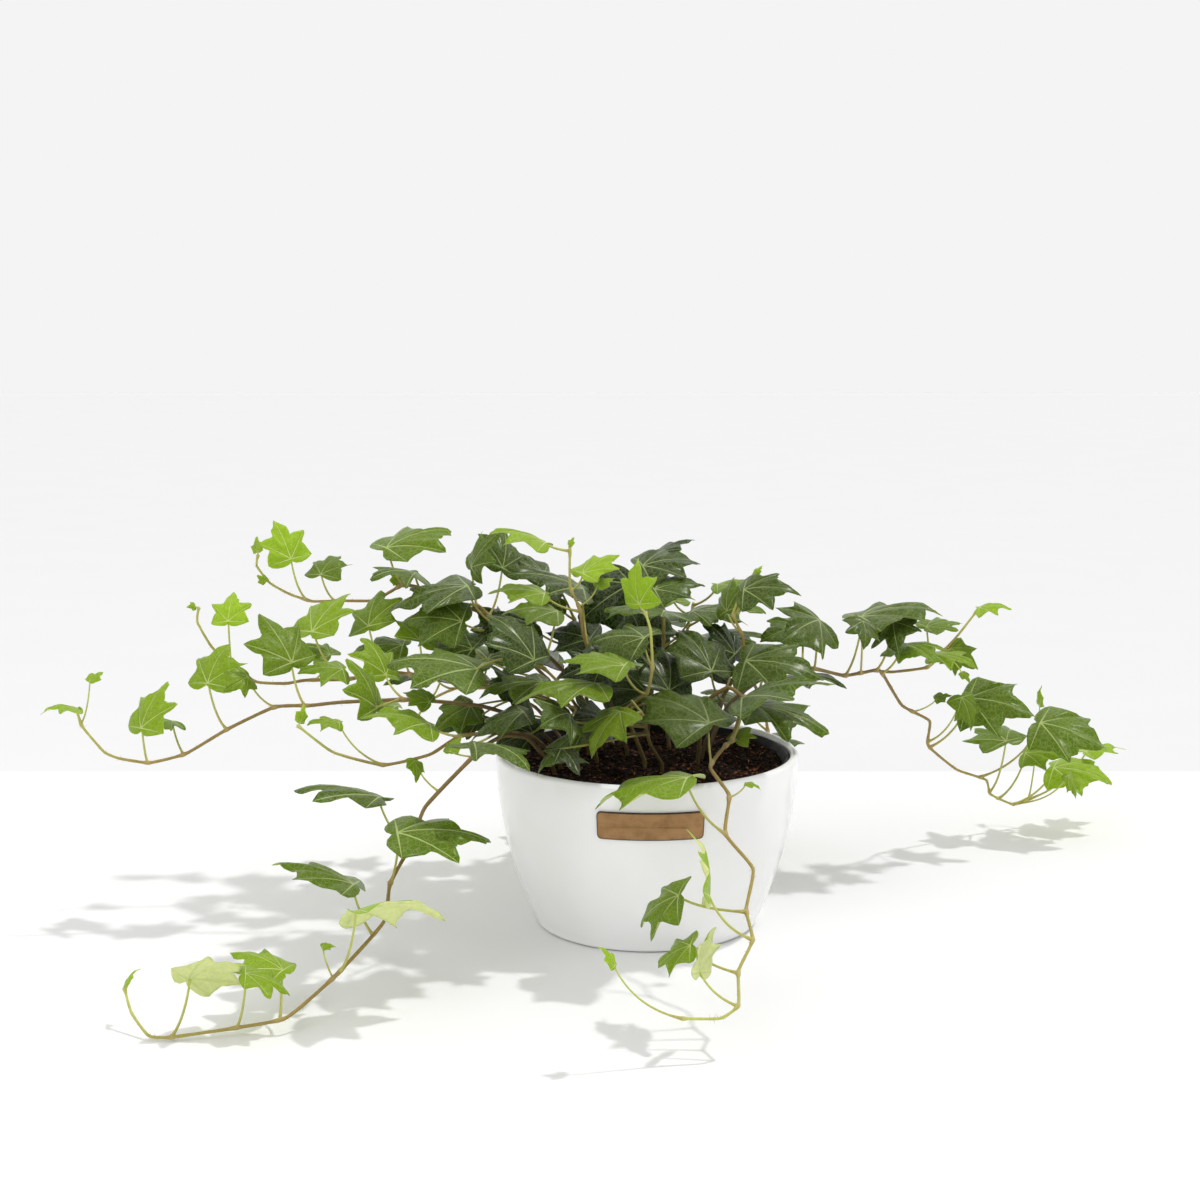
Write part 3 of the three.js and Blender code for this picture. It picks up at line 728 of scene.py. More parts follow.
@dataclass(frozen=True)
class LeafSkin:
    """Waxy ivy blade: dark when old, lime when young, paler beneath, with a net of pale veins.

    The blade's UV place is (u, v + 0.5), in shares of its length from the stalk and to the side.
    "youth" runs from an old leaf to a new one, "upper" is 1 on the upper face, and "whim" is a
    leaf's own draw.
    """

    old: Colour = tone(24, 39, 4)
    grown: Colour = tone(90, 114, 12)
    young: Colour = tone(124, 152, 20)
    new: Colour = tone(138, 170, 24)
    old_beneath: Colour = tone(114, 134, 54)
    new_beneath: Colour = tone(222, 228, 164)
    old_vein: Colour = tone(160, 176, 110)
    new_vein: Colour = tone(210, 222, 140)
    centre: float = 0.03
    side_veins: float = 7.5
    cells: float = 17.0
    relief_depth: float = 0.0006
    sheen: Colour = (0.88, 1.0, 0.6, 1.0)

    def material(self, lobes: Sequence[Pair]) -> bpy.types.Material:
        """Makes the material.

        Args:
            lobes: The (u, v) places of the lobes' tips, from the end of the blade to its base.

        Returns:
            The material.
        """
        painter = Painter("ivy_leaf")
        youth, upper, whim = (painter.attribute(mark) for mark in ("youth", "upper", "whim"))
        veins, fine = self._veins(painter, lobes)
        net = self._net(painter)
        cloud = painter.noise(75.0, 3.0)
        age = (youth + (cloud - 0.5) * 0.16 + (whim - 0.5) * 0.16).most(0.0)
        greens = (0.0, self.old), (0.38, self.grown), (0.75, self.young), (1.0, self.new)
        beneath = painter.ramp(age, (0.0, self.old_beneath), (1.0, self.new_beneath))
        colour = painter.blend(upper, beneath, painter.ramp(age, *greens))
        vein_colour = painter.ramp(youth, (0.0, self.old_vein), (1.0, self.new_vein))
        marks = (veins * 0.76).most(fine * 0.42).most(net * 0.18)
        colour = painter.blend(marks, colour, vein_colour)
        colour = painter.shaded(colour, 0.74 + 0.24 * painter.noise(310.0, 4.0) + 0.28 * whim)
        pucker = painter.noise(130.0, 2.0)
        relief = fine * 0.5 + net * 0.25 - veins - 2.6 * pucker - 0.2 * painter.noise(900.0, 3.0)
        return painter.finish({
            # Painted shade: leaves deep in the crown are coloured down to 0.58 of their colour, and
            # those outside it 8 % lighter.
            "Base Color": painter.shaded(colour, 1.08 - 0.5 * painted_crown_shade(painter)),
            "Roughness": 0.28 + 0.14 * cloud + (1 - upper) * 0.25,
            "Normal": painter.bump(relief, self.relief_depth, 0.8),
            "Specular IOR Level": 0.17,
            "Specular Tint": self.sheen,
            "Coat Weight": ((0.26 - 0.4 * age) * upper).most(0.0),
            "Coat Roughness": 0.24,
            "Subsurface Weight": 0.25,
            "Subsurface Radius": (0.7, 1.0, 0.2),
            "Subsurface Scale": 0.0012,
        })

    def _veins(self, painter: Painter, lobes: Sequence[Pair]) -> tuple[Value, Value]:
        """The main veins and their side veins.

        A main vein is the line from the stalk to a lobe's tip: along = p . d, off = |p x d|, and it
        shows where off is less than a width that shrinks along it. Its side veins lie where
        along - 0.85 off passes whole steps, on the part of the blade that is nearest to it.

        Args:
            painter: The material's painter.
            lobes: The (u, v) places of the lobes' tips.

        Returns:
            The main veins and the side veins, both 0 to 1.
        """
        place = painter.add("UVMap", {"uv_map": "UVMap"})
        u, v = place.part("X") - self.centre, abs(place.part("Y") - 0.5)
        main, side, nearest = None, None, None
        for tip_u, tip_v in lobes:
            length = math.hypot(tip_u - self.centre, tip_v)
            du, dv = (tip_u - self.centre) / length, tip_v / length
            along = u * du + v * dv
            off = abs(u * dv - v * du)
            width = (0.0125 - 0.0095 * along / length).most(0.002)
            here = (off / width).eased(1.35, 0.55) * along.eased(-0.01, 0.01)
            phase = (along - 0.85 * off) * self.side_veins
            step = abs(phase.math("FRACT") - 0.5)
            thin = step.eased(0.47, 0.5) * off.eased(0.3, 0.12) * along.eased(0.06, 0.12)
            if main is None:
                main, side, nearest = here, thin, off
            else:
                closer = off.below(nearest)
                main = main.most(here)
                side = side + closer * (thin - side)
                nearest = nearest.least(off)
        return main, side

    def _net(self, painter: Painter) -> Value:
        """The finest veins: the borders of small uneven cells.

        Args:
            painter: The material's painter.

        Returns:
            The borders, 0 to 1.
        """
        sockets = {"Vector": painter.add("UVMap", {"uv_map": "UVMap"}), "Scale": self.cells}
        edges = painter.add("TexVoronoi", {"feature": "DISTANCE_TO_EDGE"}, sockets, "Distance")
        return edges.eased(0.09, 0.02)


# ---------------------------------------------------------------- planter, plate, nursery pot, soil

# The gap between the planter's floor and the nursery pot, and under the soil; it is doubled at the
# wall.
CLEARANCE = 0.3


@dataclass(frozen=True)
class Planter:
    """A white bowl whose wall is a parabola that is widest at the rim.

    wall_lean is how far from upright its wall is taken to be where its round edges begin.
    """

    height: float = 103.5
    base_radius: float = 65.5
    rim_radius: float = 90.0
    wall: float = 5.2
    floor: float = 6.0
    edge_round: float = 2.4
    wall_lean: float = 8.0
    outer_rows: int = 26
    inner_rows: int = 16
    sides: int = 144

    def radius(self, height: np.ndarray | float) -> np.ndarray:
        """Outer radius at a height: base + (rim - base) (1 - (1 - z / h)^2)."""
        below = 1 - np.asarray(height) / self.height
        return self.base_radius + (self.rim_radius - self.base_radius) * (1 - below * below)

    def profile(self) -> np.ndarray:
        """The wall's section: foot, outer wall, round lip, inner wall and inner floor.

        Returns:
            Rows of radius and height.
        """
        lip = self.wall / 2
        top = self.height - lip
        foot, lean = self.edge_round, self.wall_lean
        outer = np.linspace(foot, top, self.outer_rows)
        inner = np.linspace(top, self.floor + foot, self.inner_rows)
        corner = float(self.radius(self.floor + foot)) - self.wall - foot
        return np.concatenate([
            [[0, 0], [self.base_radius / 2, 0]],
            arc((float(self.radius(foot)) - foot, foot), foot, -90, -lean, 7),
            curve(self.radius(outer), outer),
            arc((self.rim_radius - lip, top), lip, lean, 180 - lean, 13),
            curve(self.radius(inner) - self.wall, inner),
            arc((corner, self.floor + foot), foot, -lean, -90, 5),
            [[corner / 2, self.floor], [0, self.floor]],
        ])

    def build(self, glaze: Glaze) -> bpy.types.Object:
        """Makes the bowl and dresses it."""
        skin = turned(self.profile(), self.sides)
        return make_piece("planter_bowl", [skin], glaze.material(), "glaze", "planter")


@dataclass(frozen=True)
class Plate:
    """A thin blank metal plate with round corners and softened edges, bent to the bowl.

    Its skin is a row of outlines. The first lies on the bowl, the next three go over the edge,
    edge_drops of its rounding below the face, and the others shrink to the middle of the face.
    edge_shares and edge_rims are the size and the mark "rim" of the first four, and over the face
    that mark fades.
    """

    planter: Planter
    width: float = 60.0
    height: float = 16.0
    thickness: float = 1.5
    centre_height: float = 80.5
    corner: float = 2.2
    edge: float = 0.35
    gap: float = 0.05
    edge_shares: tuple[float, ...] = (1.0, 1.0, 0.996, 0.985)
    edge_drops: tuple[float, ...] = (1.0, 0.4, 0.08)
    edge_rims: tuple[float, ...] = (1.0, 1.0, 1.0, 0.9)
    face_shares: Pair = (0.96, 0.1)
    face_rim: float = 0.75
    rim_reach: float = 0.7
    around: int = 120
    rings: int = 12

    def outline(self) -> tuple[np.ndarray, np.ndarray]:
        """A rectangle with true corner circles, as evenly spaced points.

        Returns:
            Each outline point's place along the plate and up it.
        """
        half = np.array([self.width / 2 - self.corner, self.height / 2 - self.corner])
        points = []
        for quarter, signs in enumerate([(1, 1), (-1, 1), (-1, -1), (1, -1)]):
            turn = np.radians(np.linspace(90 * quarter, 90 * quarter + 90, self.around // 12))
            points.append(signs * half + self.corner * curve(np.cos(turn), np.sin(turn)))
        loop = np.concatenate([*points, points[0][:1]])
        length = distances(loop)
        even = np.linspace(0, length[-1], self.around, endpoint=False)
        return np.interp(even, length, loop[:, 0]), np.interp(even, length, loop[:, 1])

    def build(self, brass: AgedBrass) -> bpy.types.Object:
        """Makes the plate: a point x along it lies at the turn x / radius round the bowl.

        Args:
            brass: Its finish.

        Returns:
            The piece.
        """
        x, z = self.outline()
        share = np.concatenate([self.edge_shares, np.linspace(*self.face_shares, self.rings)])
        edges = self.thickness - self.edge * np.array(self.edge_drops)
        depth = np.concatenate([[0.0], edges, np.full(self.rings, self.thickness)])
        fading = self.face_rim * np.exp(-np.arange(self.rings) / self.rim_reach)
        rim = np.concatenate([self.edge_rims, fading])
        inset = (1 - share) * self.height / 2
        along = x * (1 - 2 * inset[:, None] / self.width)
        up = self.centre_height + z * share[:, None]
        out = self.planter.radius(up) + self.gap + depth[:, None]
        radius = float(self.planter.radius(self.centre_height))
        turn = along / radius
        rings = np.stack([out * np.sin(turn), -out * np.cos(turn), up], axis=-1)
        back = np.array([0, -radius - self.gap, self.centre_height])
        skin = closed_band(rings, back, back - np.array([0, self.thickness, 0]))
        skin.marks = {"rim": np.concatenate([np.repeat(rim, self.around), [1.0, 0.0]])}
        return make_piece("blank_plate", [skin], brass.material(), "badge_metal", "badge")


@dataclass(frozen=True)
class NurseryPot:
    """The thin black pot that holds the soil, with a narrow raised lip."""

    planter: Planter
    wall: float = 1.3
    top: float = 101.2
    bottom_radius: float = 58.0
    lip_width: float = 1.4
    lip_height: float = 4.5
    foot_round: float = 1.0
    rows: int = 12
    sides: int = 120

    @property
    def bottom(self) -> float:
        """Height of its underside."""
        return self.planter.floor + CLEARANCE

    @property
    def top_radius(self) -> float:
        """Outer radius of the wall at its top, under the lip."""
        return self.planter.rim_radius - self.planter.wall - 2 * CLEARANCE - self.lip_width

    def radius(self, height: np.ndarray | float) -> np.ndarray:
        """Outer radius of the straight wall at a height."""
        share = (np.asarray(height) - self.bottom) / (self.top - self.bottom)
        return self.bottom_radius + (self.top_radius - self.bottom_radius) * share

    def build(self, plastic: BlackPlastic) -> bpy.types.Object:
        """Makes the pot and dresses it.

        Args:
            plastic: Its finish.

        Returns:
            The piece.
        """
        step = self.top - self.lip_height
        inside = self.bottom + self.wall
        outer = np.linspace(self.bottom + self.foot_round, step, self.rows)
        inner = np.linspace(step, inside + self.foot_round, self.rows)
        lip = self.wall / 2
        lip_out = self.top_radius + self.lip_width
        foot = self.bottom_radius - self.foot_round
        profile = np.concatenate([
            [[0, self.bottom], [foot, self.bottom]],
            curve(self.radius(outer), outer),
            [[float(self.radius(step)) + self.lip_width * 0.9, step + 0.5]],
            arc((lip_out - lip, self.top - lip), lip, 0, 180, 7),
            curve(self.radius(inner) - self.wall, inner),
            [[foot - self.wall, inside], [0, inside]],
        ])
        skin = turned(profile, self.sides)
        return make_piece("nursery_pot", [skin], plastic.material(), "black_plastic", "liner_pot")


class Litter(NamedTuple):
    """Loose bits of one kind: how many, their least and greatest size, lift and tints."""

    count: int
    least: Point
    greatest: Point
    lift: float
    tints: Pair


@dataclass(frozen=True)
class Soil:
    """Peat that fills the nursery pot, with crumbs, bark chips and fibres lying on it."""

    pot: NurseryPot
    level: float = 97.0
    gap: float = 0.48
    relief: float = 1.1
    lump_height: float = 0.42
    bed_tint: float = 0.25
    crumbs: Litter = Litter(2600, (0.7, 0.6, 0.4), (3.4, 2.6, 1.4), 0.25, (0.05, 0.85))
    fibres: Litter = Litter(900, (2.2, 0.3, 0.2), (7.0, 0.9, 0.4), 0.7, (0.3, 1.05))
    covered: float = 0.985
    tilts: float = 0.9
    dents: float = 0.5
    rings: int = 70
    sides: int = 220
    seed: int = 7

    @property
    def edge(self) -> float:
        """Radius of the soil's top."""
        return float(self.pot.radius(self.level)) - self.pot.wall - self.gap

    def rough_top(self, x: np.ndarray, y: np.ndarray) -> np.ndarray:
        """Height of the top: its level, two slow waves, and small lumps.

        The waves are sin(.11x + 1.3) cos(.13y + .4) + .5 sin(.27x + .21y), and the lumps are the
        crossed sines of seven directions, each one finer and lower than the last.

        Args:
            x: Places along X.
            y: Places along Y.

        Returns:
            The heights.
        """
        hills = np.sin(0.11 * x + 1.3) * np.cos(0.13 * y + 0.4)
        top = self.level + self.relief * (hills + 0.5 * np.sin(0.27 * x + 0.21 * y))
        lumps = np.zeros_like(x)
        for k in range(7):
            turn, rate = 2.4 * k, 0.7 * 1.32**k
            ahead = rate * (x * math.cos(turn) + y * math.sin(turn))
            beside = rate * 0.83 * (y * math.cos(turn) - x * math.sin(turn))
            lumps += np.sin(ahead + 1.7 * k) * np.sin(beside + 2.9 * k) / (1 + 0.55 * k)
        return top + self.lump_height * lumps

    def bed(self) -> Patch:
        """The soil's body: a turned skin whose top rows are raised to the rough top.

        Returns:
            The skin.
        """
        bottom = self.pot.bottom + self.pot.wall + CLEARANCE
        foot = float(self.pot.radius(bottom)) - self.pot.wall - self.gap
        top_rows = np.linspace(1, 0.02, self.rings) * self.edge
        profile = np.concatenate([
            [[0, bottom], [foot, bottom], [(foot + self.edge) / 2, (bottom + self.level) / 2]],
            curve(top_rows, np.full(self.rings, self.level)),
            [[0, self.level]],
        ])
        skin = turned(profile, self.sides)
        points = skin.points
        raised = points[:, 2] >= self.level - 0.01
        points[raised, 2] = self.rough_top(points[raised, 0], points[raised, 1])
        skin.marks = {"tint": np.full(len(points), self.bed_tint)}
        return skin

    def scatter(self, draw: np.random.Generator, litter: Litter) -> Patch:
        """Lumps spread on the top, each with its own size, tint and dents.

        Each is leant by a tilt t and then turned by a yaw y: its place (a, b, c) becomes
        l = a cos t - c sin t, and then (l cos y - b sin y, l sin y + b cos y, a sin t + c cos t).

        Args:
            draw: The seeded draw.
            litter: What lies there.

        Returns:
            All of them as one patch.
        """
        points, triangles = lump_shape()
        count, least, greatest, lift, tints = litter
        away = self.edge * self.covered * np.sqrt(draw.random(count))
        around = 2 * math.pi * draw.random(count)
        x, y = away * np.cos(around), away * np.sin(around)
        centre = np.stack([x, y, self.rough_top(x, y) + lift], axis=1)
        size = np.array(least) + draw.random((count, 3)) * (np.array(greatest) - least)
        yaw, tilt = 2 * math.pi * draw.random(count), self.tilts * (draw.random(count) - 0.5)
        local = points[None] * size[:, None]
        local = local * (1 + self.dents * (draw.random(local.shape) - 0.5))
        a, b, c = local[..., 0], local[..., 1], local[..., 2]
        cos_t, sin_t = np.cos(tilt)[:, None], np.sin(tilt)[:, None]
        cos_y, sin_y = np.cos(yaw)[:, None], np.sin(yaw)[:, None]
        leant = a * cos_t - c * sin_t
        spun = [leant * cos_y - b * sin_y, leant * sin_y + b * cos_y, a * sin_t + c * cos_t]
        places = np.stack(spun, axis=-1) + centre[:, None]
        faces = (triangles[None] + (np.arange(count) * len(points))[:, None, None]).reshape(-1, 3)
        tint = tints[0] + draw.random(count) ** 2 * (tints[1] - tints[0])
        return Patch(places.reshape(-1, 3), [faces], {"tint": np.repeat(tint, len(points))})

    def build(self, peat: PottingSoil) -> list[bpy.types.Object]:
        """Makes the bed, and the crumbs and fibres on it.

        Args:
            peat: Their finish.

        Returns:
            The two pieces.
        """
        material = peat.material()
        draw = np.random.default_rng(self.seed)
        loose = [self.scatter(draw, litter) for litter in (self.crumbs, self.fibres)]
        return [
            make_piece("soil_bed", [self.bed()], material, "potting_soil", "soil"),
            make_piece("soil_crumbs", loose, material, "potting_soil"),
        ]


def lump_shape() -> tuple[np.ndarray, np.ndarray]:
    """An icosahedron of radius 0.5, with its corners at (0, 1, g) in all turns and signs.

    Returns:
        Its corners and its triangles.
    """
    golden = (1 + math.sqrt(5)) / 2
    corners = np.array([
        [-1, golden, 0], [1, golden, 0], [-1, -golden, 0], [1, -golden, 0],
        [0, -1, golden], [0, 1, golden], [0, -1, -golden], [0, 1, -golden],
        [golden, 0, -1], [golden, 0, 1], [-golden, 0, -1], [-golden, 0, 1],
    ]) / (2 * math.hypot(1, golden))
    faces = np.array([
        [0, 11, 5], [0, 5, 1], [0, 1, 7], [0, 7, 10], [0, 10, 11],
        [1, 5, 9], [5, 11, 4], [11, 10, 2], [10, 7, 6], [7, 1, 8],
        [3, 9, 4], [3, 4, 2], [3, 2, 6], [3, 6, 8], [3, 8, 9],
        [4, 9, 5], [2, 4, 11], [6, 2, 10], [8, 6, 7], [9, 8, 1],
    ])
    return corners, faces


# ---------------------------------------------------------------- leafy stems


class Leaf(NamedTuple):
    """One leaf: the count of stem points where it grows, its blade's base, and how it lies.

    heading and rise give the way its tip points, lean turns its upper face towards the front,
    and youth runs from 0 on an old leaf to 1 on a new one.
    """

    count: float
    base: Point
    length: float
    heading: float
    rise: float
    lean: float
    youth: float


class Growth(Enum):
    """The forms of a blade: five lobes with notches of a depth, or a bud's."""

    SHALLOW = -0.9
    LOBED = 0.0
    DEEP = 0.9
    BUD = None


class SeededDraw:
    """The same run of numbers between 0 and 1 for the same seed: s = 16807 s mod (2^31 - 1)."""

    SEED_FACTOR = 7919
    FACTOR = 16807
    RANGE = 2**31 - 1

    def __init__(self, seed: int) -> None:
        """Starts the run."""
        self.state = seed * self.SEED_FACTOR % self.RANGE

    def between(self, least: float, most: float) -> float:
        """The next number, scaled to a range."""
        self.state = self.state * self.FACTOR % self.RANGE
        return least + (most - least) * self.state / self.RANGE


@dataclass(frozen=True)
class GrownLeaves:
    """Alternate leaves along a stretch of stem, placed by a rule with a seeded draw."""

    count: int
    start: float
    end: float
    seed: int
    size: float
    spread: Pair = (50, 80)
    reach: Pair = (9, 17)
    lift: Pair = (7, 16)
    lowest: float = 12.0
    shrink: float = 0.45
    extra: Pair = (0, 6)
    rises: Pair = (-10, 10)

    def leaves(self, line: StemLine) -> list[Leaf]:
        """Places the leaves.

        Leaf i stands at start + (end - start)(i + 0.5) / count. It heads off the stem's way by a
        draw of the spread, left and right in turn, and starts a reach away and a lift above. Its
        youth is 0.08 + 0.5 (i / count)^1.5.

        Args:
            line: The stem's line.

        Returns:
            The leaves.
        """
        draw = SeededDraw(self.seed)
        found = []
        for i in range(self.count):
            place = self.start + (self.end - self.start) * (i + 0.5) / self.count
            here, ahead = line.straight(place), line.straight(place + 0.1)
            travel = math.degrees(math.atan2(ahead[1] - here[1], ahead[0] - here[0]))
            heading = travel + (-1) ** i * draw.between(*self.spread)
            reach = draw.between(*self.reach)
            turn = math.radians(heading)
            x, y = here[0] + reach * math.cos(turn), here[1] + reach * math.sin(turn)
            z = max(here[2] + draw.between(*self.lift), self.lowest)
            length = self.size * (1 - self.shrink * i / self.count) + draw.between(*self.extra)
            rise = draw.between(*self.rises)
            youth = 0.08 + 0.5 * (i / self.count) ** 1.5
            found.append(Leaf(place, (x, y, z), length, heading, rise, 0, youth))
        return found


@dataclass(frozen=True)
class StemPlan:
    """A leafy stem: its root, the points it runs through, its leaves and its side branch.

    A leaf's row is a Leaf: its count, base, length, heading, rise, lean and youth. ripe says how
    green the stem is at its root and at its tip.
    """

    name: str
    root: Pair
    route: list[Point]
    leaves: list[tuple] = field(default_factory=list)
    branch: list[Point] = field(default_factory=list)
    branch_leaves: list[tuple] = field(default_factory=list)
    grown: GrownLeaves | None = None
    ripe: Pair = (0.12, 1.0)


